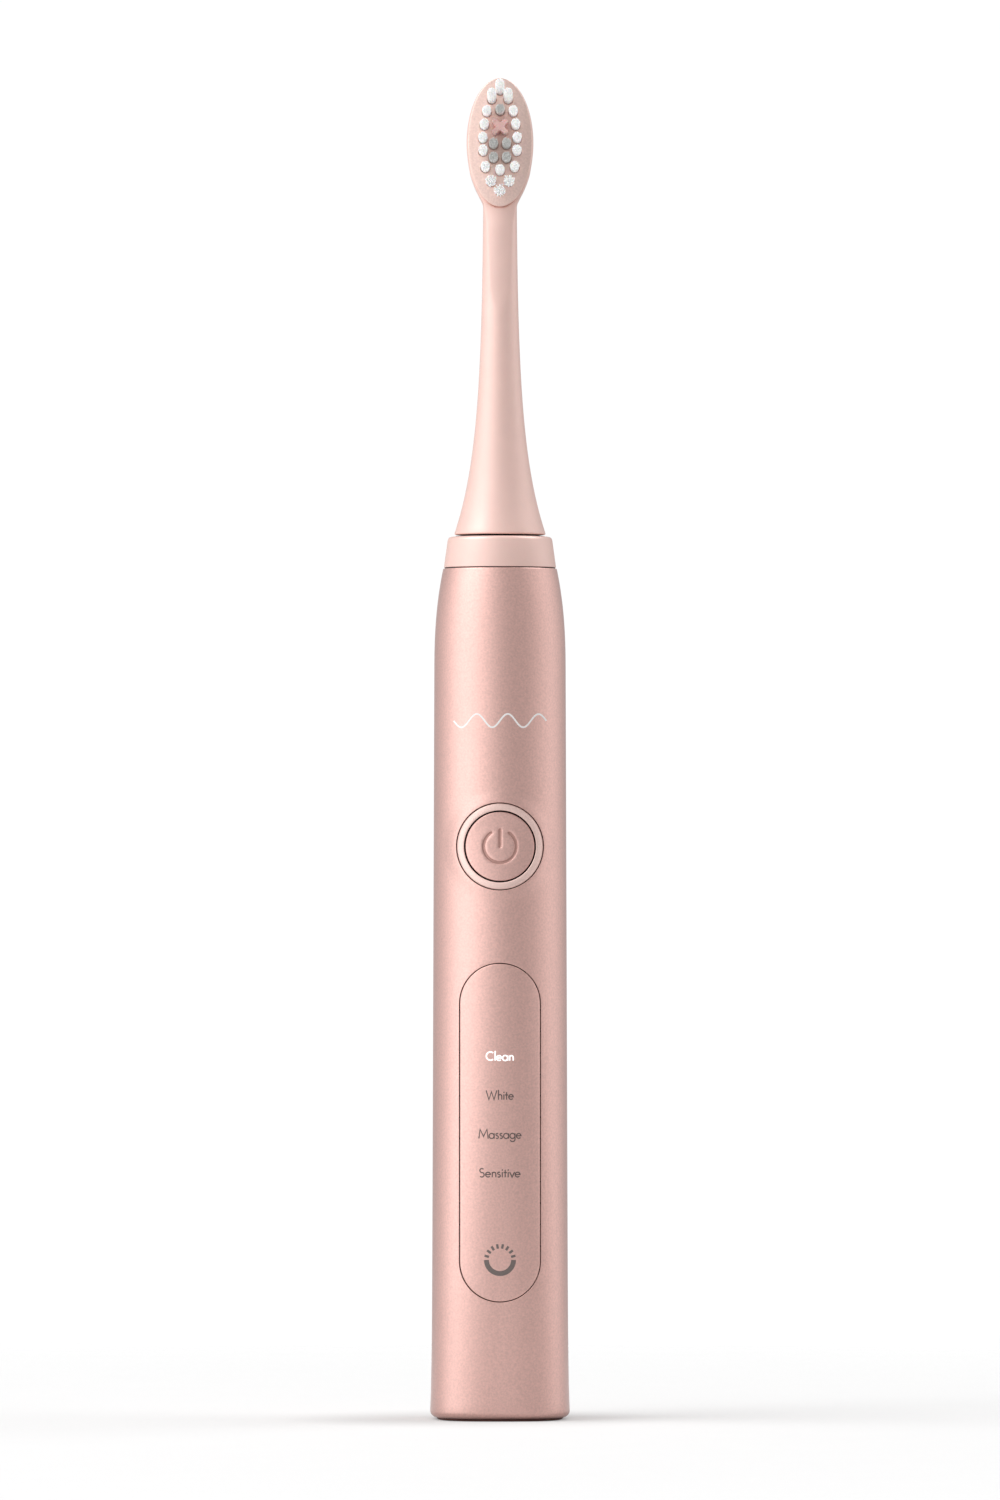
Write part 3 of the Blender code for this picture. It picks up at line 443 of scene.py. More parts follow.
def make_handle_shell():
    shape = Shape()
    columns = np.linspace(-math.pi, math.pi, AROUND + 1)
    rim = SHELL_TOP - RIM_ROUNDING
    low_rows = [3, 4.5, 6.5, 9, 12]
    rows = [FOOT_TOP, *low_rows, *np.arange(14.5, 140, 1.5), *np.arange(141, 159.5, 1.0), rim]
    scale = HANDLE_RADIUS  # millimetres of skin for each radian

    def flat(points):
        return zipped(angle_of(points) * scale, points[:, 2])

    def keep(middles):
        theta, z = middles[:, 0] / scale, middles[:, 1]
        x = squared(theta, radius(z), z)[:, 0]
        in_hole = (BEZEL_HOLE.inset(x, z) > 0) | (PANEL_HOLE.inset(x, z) > 0)
        return ~((np.abs(theta) < FRONT) & in_hole)

    theta, z = pairs(columns, rows).T
    base = squared(theta, radius(z), z)
    outside = np.where(np.abs(theta) < FRONT, -BEZEL_HOLE.inset(base[:, 0], z), math.inf)
    spots = squared(theta, radius(z) + swell(outside) * (outside > 0), z)
    loops = []
    for hole, swells in ((BEZEL_HOLE, True), (PANEL_HOLE, False)):
        steps = rounding(HOLE_ROUNDING)
        if swells:
            steps += [(HOLE_ROUNDING + SWELL_WIDTH * share, 0) for share in SWELL_SHARES]
        for outward, depth in steps:
            up = (swell(outward) if swells else 0) - depth
            outline = hole.outline(-outward)
            loops.append((flat(on_front(outline)), on_front(outline, up)))
        edge = on_front(hole.outline(), (SWELL if swells else 0) - HOLE_ROUNDING)
        shape.bridge(edge, on_front(hole.outline(), inside=True), 1)
    sheet(shape, loops, (zipped(theta * scale, z), spots), keep, 0)

    theta, z = pairs(columns, [SHELL_BOTTOM, *low_rows, *np.arange(15, 159, 4.0), SHELL_TOP]).T
    inner = [on_front(hole.outline(), inside=True) for hole in (BEZEL_HOLE, PANEL_HOLE)]
    sheet(shape, [(flat(p), p) for p in inner],
          (zipped(theta * scale, z), squared(theta, bore(z), z)), keep, 2)

    for start, way, size, steps, end, group in ((FOOT_TOP, -1, FOOT_ROUNDING, 9, SHELL_BOTTOM, 3),
                                                (rim, 1, RIM_ROUNDING, 6, SHELL_TOP, 4)):
        curve = [(radius(start) - size * (1 - math.cos(a)), start + way * size * math.sin(a))
                 for a in np.radians(np.linspace(0, 90, steps))]
        curve.append((bore(end), curve[-1][1]))
        rings = [squared(columns, r, z + 0 * columns) for r, z in curve]
        shape.grid(np.stack(rings[:-1]), 0)
        shape.grid(np.stack(rings[-2:]), group)
    # Group 1, the holes' walls, takes the dark gap finish: painted shade.
    shape.piece("handle_shell_skin", ROSE_SHELL, "handle", "handle_shell", "rose_metallic_shell", (1,))


# ---- pieces set into the handle's front


def front_plate(name, band, body, node, edge, lift, back, spacing, engraved=()):
    """A plate of the shell's colour that follows the handle's front, with its edge rounded.

    lift(x, z) raises its face and back its back. The outlines in engraved become edges in its face.
    """
    shape = Shape()
    outlines = [(band.outline(inward), depth) for inward, depth in rounding(edge)]
    outlines += [(outline, 0) for outline in engraved]
    loops = [(outline, on_front(outline, lift(*outline.T) - depth)) for outline, depth in outlines]
    low, high = band.line.min(0) - band.half_width, band.line.max(0) + band.half_width
    spots = pairs(*(np.arange(a + spacing / 2, b, spacing) for a, b in zip(low, high)))
    spots = spots[band.inset(*spots.T) > edge + 0.1]

    def keep(middles):
        return band.inset(*middles.T) > 0

    sheet(shape, loops, (spots, on_front(spots, lift(*spots.T))), keep, 0, clear=min(0.3, spacing * 0.6))
    outline = band.outline()
    under = on_front(outline, back)
    shape.bridge(loops[0][1], under, 1)
    sheet(shape, [(outline, under)], (spots[::3], on_front(spots[::3], back)), keep, 2)
    # Group 1, the plate's rim wall, takes the dark gap finish: painted shade.
    return shape.piece(name, ROSE_SHELL, body, node, "rose_metallic_plastic", (1,))


def make_display_panel():
    front_plate("display_panel_face", Band(PANEL_MIDDLE_LINE, 7.50, step=0.4), "handle", "display_panel",
                edge=0.10, lift=lambda x, z: 0 * x, back=-1.0, spacing=1.0)


CAP_RADIUS, CAP_LIFT, CAP_DISH = 6.5, -0.05, 0.65
ENGRAVED_DEPTH, ENGRAVED_SLOPE = 0.16, 0.07
# (distance from the middle, lift) across the ring round the cap, from its back, up over its crown
RING_SECTION = ((8.08, -1.05), (8.08, -0.02), (8.05, 0.05), (7.97, 0.10), (7.7, 0.15), (7.4, 0.165),
                (7.1, 0.15), (6.87, 0.10), (6.79, 0.05), (6.76, -0.02), (6.76, -1.05))


def make_button():
    middle = np.array([0, BUTTON_HEIGHT])
    arc = Band(middle + 3.05 * circle(np.radians(np.linspace(124, 416, 60))), 0.25, step=0.12)
    bar = Band([(0, BUTTON_HEIGHT), (0, BUTTON_HEIGHT + 3.1)], 0.26, step=0.12)

    def lift(x, z):
        from_middle = np.hypot(x, z - BUTTON_HEIGHT) / CAP_RADIUS
        engraved = np.maximum(*(smooth_step(band.inset(x, z) / ENGRAVED_SLOPE / 2 + 0.5)
                                for band in (arc, bar)))
        return CAP_LIFT - CAP_DISH * (1 - from_middle**2) - ENGRAVED_DEPTH * engraved

    steps = [ENGRAVED_SLOPE * share for share in (-1, -0.4, 0, 0.4, 1)]
    cap = front_plate("power_button_cap", Band([middle], CAP_RADIUS, step=0.35), "button", "button_cap", 0.22,
                      lift, -1.05, 0.5, [band.outline(step) for band in (arc, bar) for step in steps])
    # Faces in the groove's floor and walls get the darker groove finish: painted shade in the engraving.
    cap.data.materials.append(ROSE_ENGRAVED_PAINTED_SHADE)
    for face in cap.data.polygons:
        x, y, z = face.center / MM
        if max(arc.inset(x, z), bar.inset(x, z)) > -0.02 and y < front_y(x, z, radius(z) - 1.0):
            face.material_index = 2

    # The post behind the cap presses the switch.
    post = turned([(0, 0), (1.3, 0, 0.2), (1.3, 1.6), (0, 1.6)], 32)
    pointed_forward(post, 9.9, BUTTON_HEIGHT).piece(
        "power_button_post", ROSE_SHELL, "button", slot="rose_metallic_plastic")

    shape = Shape()
    angles = np.linspace(0, math.tau, 121)
    rows = [on_front(middle + r * circle(angles), up) for r, up in RING_SECTION]
    for group, part in ((1, rows[:2]), (0, rows[1:-1]), (2, rows[-2:]), (3, [rows[-1], rows[0]])):
        shape.grid(np.stack(part), group)
    # Group 2, the ring's inner wall, takes the dark gap finish: painted shade.
    shape.piece("power_button_ring", ROSE_RING, "handle", "button_bezel", "rose_bright_metal", (2,))


# ---- printed marks

CAPITAL = 1.72  # the height of a capital
SHARPEST_MITRE = 0.42
PRINT_HEIGHT, PRINT_DEPTH = 0.022, 0.05  # over and under the handle's skin


def arc_line(x, z, r, start, end, steps):
    return (x, z) + r * circle(np.radians(np.linspace(start, end, steps)))


# Plain letters as (advance, strokes), for a capital 1 high. Small letters are 0.6 high.
BOWL = arc_line(0.31, 0.29, 0.28, 0, 360, 24)
ARCH = np.vstack([arc_line(0.29, 0.36, 0.19, 180, 0, 12), [(0.48, 0)]])
LETTERS = {
    "C": (0.92, [arc_line(0.52, 0.5, 0.45, 48, 312, 24)]),
    "W": (1.34, [[(0.03, 1), (0.35, 0), (0.64, 0.86), (0.93, 0), (1.25, 1)]]),
    "M": (1.22, [[(0.08, 0), (0.22, 1), (0.61, 0.22), (1.0, 1), (1.14, 0)]]),
    "S": (0.66, [np.vstack([arc_line(0.30, 0.735, 0.215, 38, 262, 16),
                            arc_line(0.30, 0.27, 0.245, 82, -140, 16)])]),
    "a": (0.72, [BOWL, [(0.60, 0.57), (0.60, 0)]]),
    "e": (0.66, [np.vstack([[(0.05, 0.30), (0.555, 0.30)], arc_line(0.30, 0.29, 0.26, 8, 318, 20)])]),
    "g": (0.72, [BOWL, np.vstack([[(0.60, 0.57)], arc_line(0.33, -0.06, 0.27, 0, -165, 14)])]),
    "h": (0.60, [[(0.1, 1.06), (0.1, 0)], ARCH]),
    "i": (0.25, [[(0.12, 0.57), (0.12, 0)], [(0.12, 0.86), (0.12, 0.72)]]),
    "l": (0.25, [[(0.12, 1.06), (0.12, 0)]]),
    "n": (0.60, [[(0.1, 0.57), (0.1, 0)], ARCH]),
    "s": (0.46, [np.vstack([arc_line(0.21, 0.435, 0.125, 30, 265, 12),
                            arc_line(0.21, 0.16, 0.145, 85, -145, 12)])]),
    "t": (0.38, [[(0.18, 0.82), (0.18, 0)], [(0.0, 0.51), (0.36, 0.51)]]),
    "v": (0.58, [[(0.03, 0.57), (0.29, 0.02), (0.55, 0.57)]]),
}
# (text, height of its middle, width, half width of a stroke, finish, slot)
LABELS = (("Clean", 68.5, 5.35, 0.132, LIT_LABEL, "led"),
          ("White", 61.2, 5.3, 0.108, GREY_PRINT, "dark_plastic"),
          ("Massage", 53.9, 8.2, 0.104, GREY_PRINT, "dark_plastic"),
          ("Sensitive", 46.65, 7.85, 0.106, GREY_PRINT, "dark_plastic"))
GAUGE_HEIGHT, GAUGE_RADIUS, GAUGE_HALF_WIDTH = 30.3, 2.54, 0.46
TICKS, TICK_START, TICK_STEP, TICK_ENDS, TICK_HALF_WIDTH = 8, 15.5, 21.29, (2.15, 3.0), 0.225
WAVE_HEIGHT, WAVE_REACH, WAVE_SWING, WAVE_HALF_WIDTH = 131.4, 8.7, 1.25, 0.16


def left_of(ways):
    return zipped(-ways[:, 1], ways[:, 0])


def ribbon(line, half_width):
    """The outline of a stroke with square ends and mitred bends."""
    line = np.asarray(line, float)
    ways = np.diff(line, axis=0)
    ways /= np.hypot(*ways.T)[:, None]
    closed = np.allclose(line[0], line[-1])
    before = np.vstack([ways[-1:] if closed else ways[:1], ways])
    after = np.vstack([ways, ways[:1] if closed else ways[-1:]])
    mitre = before + after
    mitre /= np.hypot(*mitre.T)[:, None]
    out = left_of(mitre)
    reach = half_width / np.clip((out * left_of(before)).sum(1), SHARPEST_MITRE, 1)
    return line + out * reach[:, None], line - out * reach[:, None]


def printed(name, strips, material, slot):
    """A thin raised print on the handle's front, from (left side, right side) strips of (x, z) points."""
    points, faces = [], []
    for left, right in strips:
        for i in range(len(left) - 1):
            for corners in ((left[i], right[i], right[i + 1]), (left[i], right[i + 1], left[i + 1])):
                (ax, az), (bx, bz) = corners[1] - corners[0], corners[2] - corners[0]
                twice_area = ax * bz - az * bx
                if abs(twice_area) > 1e-6:
                    faces.append([len(points), len(points) + 1, len(points) + 2])
                    points += corners if twice_area > 0 else corners[::-1]  # turning left, so that it fills
    verts, _, tris, _, _, sources = delaunay_2d_cdt([Vector(p) for p in points], [], faces, 0, 1e-4)
    flat = np.array([tuple(v) for v in verts])
    tris = [t for t, covered in zip(tris, sources) if covered and len(set(t)) == 3]
    sides = {side: None for tri in tris for side in zip(tri, tri[1:] + tri[:1])}  # in order
    border = [(a, b) for a, b in sides if (b, a) not in sides]
    top, under = on_front(flat, PRINT_HEIGHT), on_front(flat, -PRINT_DEPTH)
    shape = Shape()
    shape.add(top, tris, 0)
    shape.add(under, [t[::-1] for t in tris], 1)
    for a, b in border:
        shape.add([top[b], top[a], under[a], under[b]], [(0, 1, 2, 3)], 2)
    return shape.piece(name, material, "handle", slot=slot)


def word_strips(text, middle, width, half_stroke):
    squeeze = width / (sum(LETTERS[c][0] for c in text) * CAPITAL)
    x, strips = -width / 2, []
    for c in text:
        advance, strokes = LETTERS[c]
        for line in strokes:
            line = np.asarray(line, float)
            placed = zipped(x + line[:, 0] * CAPITAL * squeeze, middle + (line[:, 1] - 0.5) * CAPITAL)
            strips.append(ribbon(placed, half_stroke))
        x += advance * CAPITAL * squeeze
    return strips


def make_marks():
    for text, height, width, half_stroke, material, slot in LABELS:
        printed(f"mode_label_{text.lower()}", word_strips(text, height, width, half_stroke), material, slot)
    strips = [ribbon(arc_line(0, GAUGE_HEIGHT, GAUGE_RADIUS, 180, 360, 40), GAUGE_HALF_WIDTH)]
    for i in range(TICKS):
        a = math.radians(TICK_START + TICK_STEP * i)
        strips.append(ribbon([(r * math.cos(a), GAUGE_HEIGHT + r * math.sin(a)) for r in TICK_ENDS],
                             TICK_HALF_WIDTH))
    printed("charge_gauge_mark", strips, GAUGE_PRINT, "dark_plastic")
    x = np.linspace(-WAVE_REACH, WAVE_REACH, 120)
    z = WAVE_HEIGHT + WAVE_SWING * np.sin(x / WAVE_REACH * 3 * math.pi)
    printed("wave_mark", [ribbon(zipped(x, z), WAVE_HALF_WIDTH)], WHITE_PRINT, "white_nylon")


# ---- base and collar


def make_base_cap():
    # The base cap's dark finish paints the shade in the gap under the shell's rounded foot.
    turned([(0, 11.2), (4.0, 11.2, 0.3), (4.0, 0.5), (4.5, 0), (11.6, 0, 0.1), (11.9, 0.2, 0.1),
            (11.9, 0.34, 0.05), (11.15, 0.34, 0.05), (11.15, 4.0, 0.2), (10.5, 4.0, 0.2), (10.5, 5.6, 0.2),
            (11.15, 5.6, 0.2), (11.15, 8.0, 0.3), (10.2, 8.0, 0.2), (10.2, 2.0, 0.4), (5.0, 2.0, 0.4),
            (5.0, 12.2, 0.4), (0, 12.2)], AROUND, square_beyond=10.2 + 1e-6).piece(
        "base_cap_turned", BASE_ROSE_PAINTED_SHADE, "handle", "base_cap", "rose_metallic_plastic")


def make_collar():
    turned([(4.2, 166.2, 0.12), (9.78, 166.2, 0.75), (10.58, 160.40, 0.14), (9.2, 160.40, 0.1),
            (9.2, 157.7, 0.1), (8.7, 157.7, 0.1), (8.7, 156.1, 0.1), (9.2, 156.1, 0.1), (9.2, 154.8, 0.1),
            (7.9, 154.8, 0.1), (7.9, 162.6, 0.2), (4.2, 162.6, 0.1)], AROUND).piece(
        "top_collar_turned", BLUSH, "handle", "top_collar", "blush_plastic")
    # A thin black ring fills the seam between shell and collar: a dark sheet as painted shade for the seam's
    # gap.
    turned([(9.3, 160.21), (10.4, 160.21, 0.04), (10.4, 160.39, 0.04), (9.3, 160.39)], AROUND).piece(
        "collar_seam_ring", BLACK_RUBBER, "handle", slot="black_rubber")


# ---- drive, seen when the head is off


def make_drive():
    shape = Shape()
    columns = np.linspace(-math.pi, math.pi, 49)
    flat_from, flat_at = 176.0, 1.1  # the flat on the shaft's back that carries the head round
    profile, _ = softened([(0, 116.4), (1.6, 116.4, 0.15), (1.6, 116.9), (1.15, 116.9), (1.15, 117.9),
                           (1.6, 117.9), (1.6, 175.98), (1.6, 176.0), (1.6, 189.5, 0.1), (1.1, 190.0, 0.1),
                           (0, 190.0)])
    rows = []
    for r, z in profile:
        ring = round_section(columns, r, z)
        if z >= flat_from:
            ring[:, 1] = np.minimum(ring[:, 1], flat_at)
        rows.append(ring)
    for i in range(len(rows) - 1):
        shape.grid(np.stack(rows[i:i + 2]), i)
    shape.piece("drive_shaft_ground", STEEL, "drive", "drive_shaft", "steel")
    turned([(1.95, 161.2), (7.4, 161.2, 0.1), (7.4, 162.3, 0.2), (3.85, 162.3, 0.4), (3.85, 163.2, 0.2),
            (3.55, 163.6, 0.2), (3.85, 164.0, 0.2), (3.85, 166.24, 0.1), (8.45, 166.24, 0),
            (8.45, 166.3, 0.02), (7.2, 166.42, 0.3), (3.85, 166.56, 0.3), (3.7, 167.2, 0.4),
            (3.2, 167.7, 0.3), (1.95, 167.7, 0.15)], 72).piece(
        "shaft_seal_boot", BLACK_RUBBER, "handle", "shaft_seal", "black_rubber")


# ---- brush head

HEAD_TOP, HEAD_MIDDLE, HEAD_HALF_WIDTH = 252.7, 240.5, 6.3
HEAD_FRONT, HEAD_BACK = 2.6, 2.1  # its depth before and behind the middle
TIP_ROUNDING, BLUNT_ROUNDING = 3.0, 0.7  # how the back and the front close at the top
NECK_BOTTOM, NECK_THIN, NECK_FLARE, NECK_FADE = 166.55, 3.05, 5.65, 16.4
SEAT, PLATE_FRONT = 1.7, 3.0
SEAT_HALF_WIDTH, SEAT_HALF_LENGTH = 6.22, 12.27
SCOOP_START, SCOOP_END = 209.5, 228.2
FACET_HEIGHTS, FACET_DEPTHS = (209.0, 210.5, 213.0, 225.0, 228.4, 233.0), (3.60, 3.32, 3.08, 2.62, 2.15, 1.7)
FACET_CROWN = 6.2  # the radius of the scooped front across the neck
FOOT_TURN = 0.42  # the rounding of the neck's foot
SOCKET_RADIUS, SOCKET_WALL = 3.15, 1.15


def neck_radius(z):
    return NECK_THIN + NECK_FLARE * np.exp((NECK_BOTTOM - z) / NECK_FADE)


def soft_least(a, b, k):
    """The lesser of two numbers, turning from one to the other over about k."""
    h = np.clip(0.5 + 0.5 * (b - a) / k, 0, 1)
    return b * (1 - h) + a * h - k * h * (1 - h)


def closing(z, rounding_height):
    """The share of its depth that the head keeps at z, near its top."""
    return min(1.0, math.sqrt(max(0.0, (HEAD_TOP - z) / rounding_height)))


def head_ring(z, steps):
    """One section of the neck and head, as a closed row of points."""
    neck = neck_radius(z)
    across = math.sqrt(max(0.0, 1 - ((z - HEAD_MIDDLE) / (HEAD_TOP - HEAD_MIDDLE)) ** 2))
    fade = min(1.0, max(0.0, (HEAD_MIDDLE - z) / 6))
    half_width = ((HEAD_HALF_WIDTH * across) ** 4 + (neck * fade) ** 4) ** 0.25
    into_head = float(smooth_step((z - SCOOP_END + 3) / 8))
    front = neck * (1 - into_head) + HEAD_FRONT * into_head
    back = neck + (HEAD_BACK - neck) * float(smooth_step((z - SCOOP_START) / 24))
    n = 2 + 2 * into_head
    x, y = circle(np.linspace(0, math.tau, steps + 1) + math.pi / 2).T
    stretch = (np.abs(x) ** n + np.abs(y) ** n) ** (-1 / n)
    depth = np.where(y > 0, back * closing(z, TIP_ROUNDING), front * closing(z, BLUNT_ROUNDING))
    px, py = half_width * x * stretch, depth * y * stretch
    # The front is cut back to the facet, crowned on the neck, and further to the plate's seat.
    cut = max(float(np.interp(z, FACET_HEIGHTS, FACET_DEPTHS)), SEAT) if z > FACET_HEIGHTS[0] else 99.0
    cut = cut - (FACET_CROWN - np.sqrt(FACET_CROWN**2 - np.minimum(np.abs(px), 4.0) ** 2)) * (1 - into_head)
    in_seat = (px / SEAT_HALF_WIDTH) ** 2 + ((z - HEAD_MIDDLE) / SEAT_HALF_LENGTH) ** 2 < 1
    cut = np.where(in_seat, SEAT, cut)
    py = np.where(py < 0, -soft_least(-py, cut, 0.12), py)
    return zipped(px, py, z + 0 * px)


def make_neck():
    shape = Shape()
    steps = 168
    heights = [*np.arange(167.9, 208, 2.0), *np.arange(208.5, 228, 0.5), *np.arange(228, 233, 0.2),
               *np.arange(233, 250, 0.5)]
    heights += [HEAD_MIDDLE + (HEAD_TOP - HEAD_MIDDLE) * math.sin(math.radians(a))
                for a in (51, 55, 60, 65, 70, 75, 79, 82, 85, 87, 88.7)]
    rows = []
    for a in np.radians(np.linspace(-90, 0, 7)):  # the rounded foot
        z = NECK_BOTTOM + FOOT_TURN + FOOT_TURN * math.sin(a)
        ring = head_ring(z, steps)
        ring[:, :2] *= (neck_radius(z) - FOOT_TURN * (1 - math.cos(a))) / neck_radius(z)
        rows.append(ring)
    rows += [head_ring(z, steps) for z in heights]
    rows.append(np.tile((0, 0.1, HEAD_TOP - 0.02), (steps + 1, 1)))
    shape.grid(np.stack(rows), 0)

    # The socket inside, up from the foot.
    x, y = circle(np.linspace(0, math.tau, steps + 1) + math.pi / 2).T
    inside = []
    for z in (NECK_BOTTOM, 168, 171, 174, 178, 183, 189, 194):
        r = max(SOCKET_RADIUS, float(neck_radius(z)) - SOCKET_WALL)
        inside.append(zipped(r * x, r * y, z + 0 * x))
    shape.grid(np.stack([rows[0], inside[0]]), 1)
    shape.grid(np.stack(inside), 2)
    shape.grid(np.stack([inside[-1], inside[-1] * (0, 0, 1)]), 3)
    shape.piece("neck_body_moulded", BLUSH, "brush_head", "neck_body", "blush_plastic")


# (distance from the middle, height, how far the tips lean up)
OUTER_TUFTS = ((0.0, 250.2, 0.9), (1.55, 248.5, 0.9), (2.49, 246.1, 0.0), (2.94, 243.6, 0.0),
               (3.22, 241.1, 0.0), (3.18, 238.7, 0.0), (2.76, 235.6, 0.0), (0.0, 235.0, 0.0),
               (1.71, 233.0, -0.25), (0.0, 231.3, -0.4))
INNER_TUFTS = ((0.0, 246.4, 0.0), (1.22, 240.0, 0.0), (1.22, 237.4, 0.0))
TUFT_HOLE, CROSS_HOLE = 0.95, 0.97
CROSS_HEIGHT = 243.2
PLATE_HALF_WIDTH, PLATE_HALF_LENGTH = 6.05, 12.1
CROWN_ACROSS, CROWN_ALONG = 0.34, 0.22


def both_sides(rows):
    return [(side * x, z, lean) for x, z, lean in rows for side in ((-1, 1) if x else (1,))]


def make_face_plate():
    """An oval, crowned both ways, with a turned-down edge and a hole for each tuft."""

    def oval(inset):
        x, z = circle(np.linspace(0, math.tau, 140, endpoint=False)).T
        return zipped((PLATE_HALF_WIDTH - inset) * x, HEAD_MIDDLE + (PLATE_HALF_LENGTH - inset) * z)

    def from_middle(xz, inset=0.0):
        """1 on the oval that far in from the edge, and less inside it."""
        return np.hypot(xz[:, 0] / (PLATE_HALF_WIDTH - inset),
                        (xz[:, 1] - HEAD_MIDDLE) / (PLATE_HALF_LENGTH - inset))

    def face(xz, depth=0.0):
        x, z = xz[:, 0] / PLATE_HALF_WIDTH, (xz[:, 1] - HEAD_MIDDLE) / PLATE_HALF_LENGTH
        y = -PLATE_FRONT + CROWN_ACROSS * x**2 + CROWN_ALONG * z**2 + depth
        return zipped(xz[:, 0], y, xz[:, 1])

    def back(xz):
        return zipped(xz[:, 0], 0 * xz[:, 0] - SEAT + 0.01, xz[:, 1])

    holes = [Band([(x, z)], TUFT_HOLE, step=0.2) for x, z, _ in both_sides(OUTER_TUFTS + INNER_TUFTS)]
    holes.append(Band([(0, CROSS_HEIGHT)], CROSS_HOLE, step=0.2))

    def keep(middles):
        return (from_middle(middles) < 1) & np.all([hole.inset(*middles.T) < 0 for hole in holes], 0)

    shape = Shape()
    loops = [(oval(inward), face(oval(inward), depth)) for inward, depth in rounding(0.14)]
    for hole in holes:
        for outward, depth in rounding(0.06, 2):
            loops.append((hole.outline(-outward), face(hole.outline(-outward), depth)))
    spots = pairs(np.arange(-6, 6.1, 0.45), np.arange(228.6, 252.6, 0.45))
    spots = spots[from_middle(spots, 0.4) < 1]
    sheet(shape, loops, (spots, face(spots)), keep, 0, clear=0.2)
    sheet(shape, [(outline, back(outline)) for outline in [oval(0), *[hole.outline() for hole in holes]]],
          (spots[::4], back(spots[::4])), keep, 1)
    shape.bridge(face(oval(0), 0.14), back(oval(0)), 2)
    for hole in holes:
        shape.bridge(face(hole.outline(), 0.06), back(hole.outline()), 3)
    shape.piece("face_plate_crowned", ROSE_PLATE, "brush_head", "face_plate", "rose_bright_metal")


FILAMENT_RADIUS, FILAMENT_SIDES, FILAMENT_PITCH = 0.108, 6, 0.205
TUFT_RADIUS, TUFT_CROWN, TUFT_UNEVEN = 0.80, 0.25, 0.12
ROOT_DEPTH = 1.3  # how far before the head's middle the filaments start
SPLAY, FRAYED_SPLAY = (1.06, 0.035), (1.38, 0.105)  # (widening, waywardness) at the tips
# (share of the way from root to tip, distance back from the tip, share of the thickness)
FILAMENT_STATIONS = ((0, 0, 1), (0.5, 0, 1), (1, 0.3, 1), (1, 0.12, 0.78), (1, 0.03, 0.45))


def make_tufts(name, rows, tip, material, replaces, slot, seed):
    """Round bundles of nylon filaments with rounded ends, each a little apart from its neighbours."""
    random = np.random.default_rng(seed)
    places = np.array([(FILAMENT_PITCH * (i + 0.5 * (j % 2)), FILAMENT_PITCH * 0.866 * j)
                       for i in range(-6, 7) for j in range(-6, 7)])
    places = places[[math.hypot(*p) < TUFT_RADIUS for p in places]]
    ring = circle(np.linspace(0, math.tau, FILAMENT_SIDES, endpoint=False))
    sides = FILAMENT_SIDES
    shape = Shape()
    for x, z, lean in both_sides(rows):
        splay, ragged = FRAYED_SPLAY if lean < 0 else SPLAY
        spin = random.uniform(0, math.tau)
        turn = np.array([[math.cos(spin), -math.sin(spin)], [math.sin(spin), math.cos(spin)]])
        for place in places @ turn:
            out = math.hypot(*place) / TUFT_RADIUS
            length = -tip - ROOT_DEPTH - TUFT_CROWN * out**2 - abs(random.normal(0, TUFT_UNEVEN))
            stray = random.normal(0, ragged, 2)
            root = np.array([x, z]) + place
            end = np.array([x, z + lean]) + place * splay + stray
            points = []
            for along, back, share in FILAMENT_STATIONS:
                depth = length * along - back
                middle = root + (end - root) * (depth / length) ** 1.2 if depth > 0 else root
                for px, pz in ring * FILAMENT_RADIUS * share:
                    points.append((middle[0] + px, -ROOT_DEPTH - depth, middle[1] + pz))
            points.append((end[0], -ROOT_DEPTH - length, end[1]))
            points.append((root[0], -ROOT_DEPTH, root[1]))
            last, top, bottom = len(points) - 2 - sides, len(points) - 2, len(points) - 1
            faces = []
            for first in range(0, last, sides):
                for k in range(sides):
                    a, b = first + k, first + (k + 1) % sides
                    faces.append((a, b, b + sides, a + sides))
            faces += [(last + k, last + (k + 1) % sides, top) for k in range(sides)]
            faces += [((k + 1) % sides, k, bottom) for k in range(sides)]
            shape.add(points, faces)
    shape.piece(name, material, "brush_head", replaces, slot)


def within(loop):
    """Says which points lie inside a closed loop."""
    def keep(points):
        inside = np.zeros(len(points), bool)
        for (x0, z0), (x1, z1) in zip(loop, np.roll(loop, -1, 0)):
            crosses = (z0 > points[:, 1]) != (z1 > points[:, 1])
            with np.errstate(divide="ignore", invalid="ignore"):
                at = x0 + (points[:, 1] - z0) / (z1 - z0) * (x1 - x0)
            inside ^= crosses & (points[:, 0] < at)
        return inside
    return keep


ARM_LENGTH, ARM_HALF_WIDTH = 1.84, 0.53
# (y, distance in from the outline) up the cross, from the plate to its top
CROSS_STATIONS = ((-3.28, -0.06), (-3.6, -0.02), (-6, 0.0), (-8.3, 0.03), (-8.46, 0.06), (-8.56, 0.12),
                  (-8.6, 0.2))


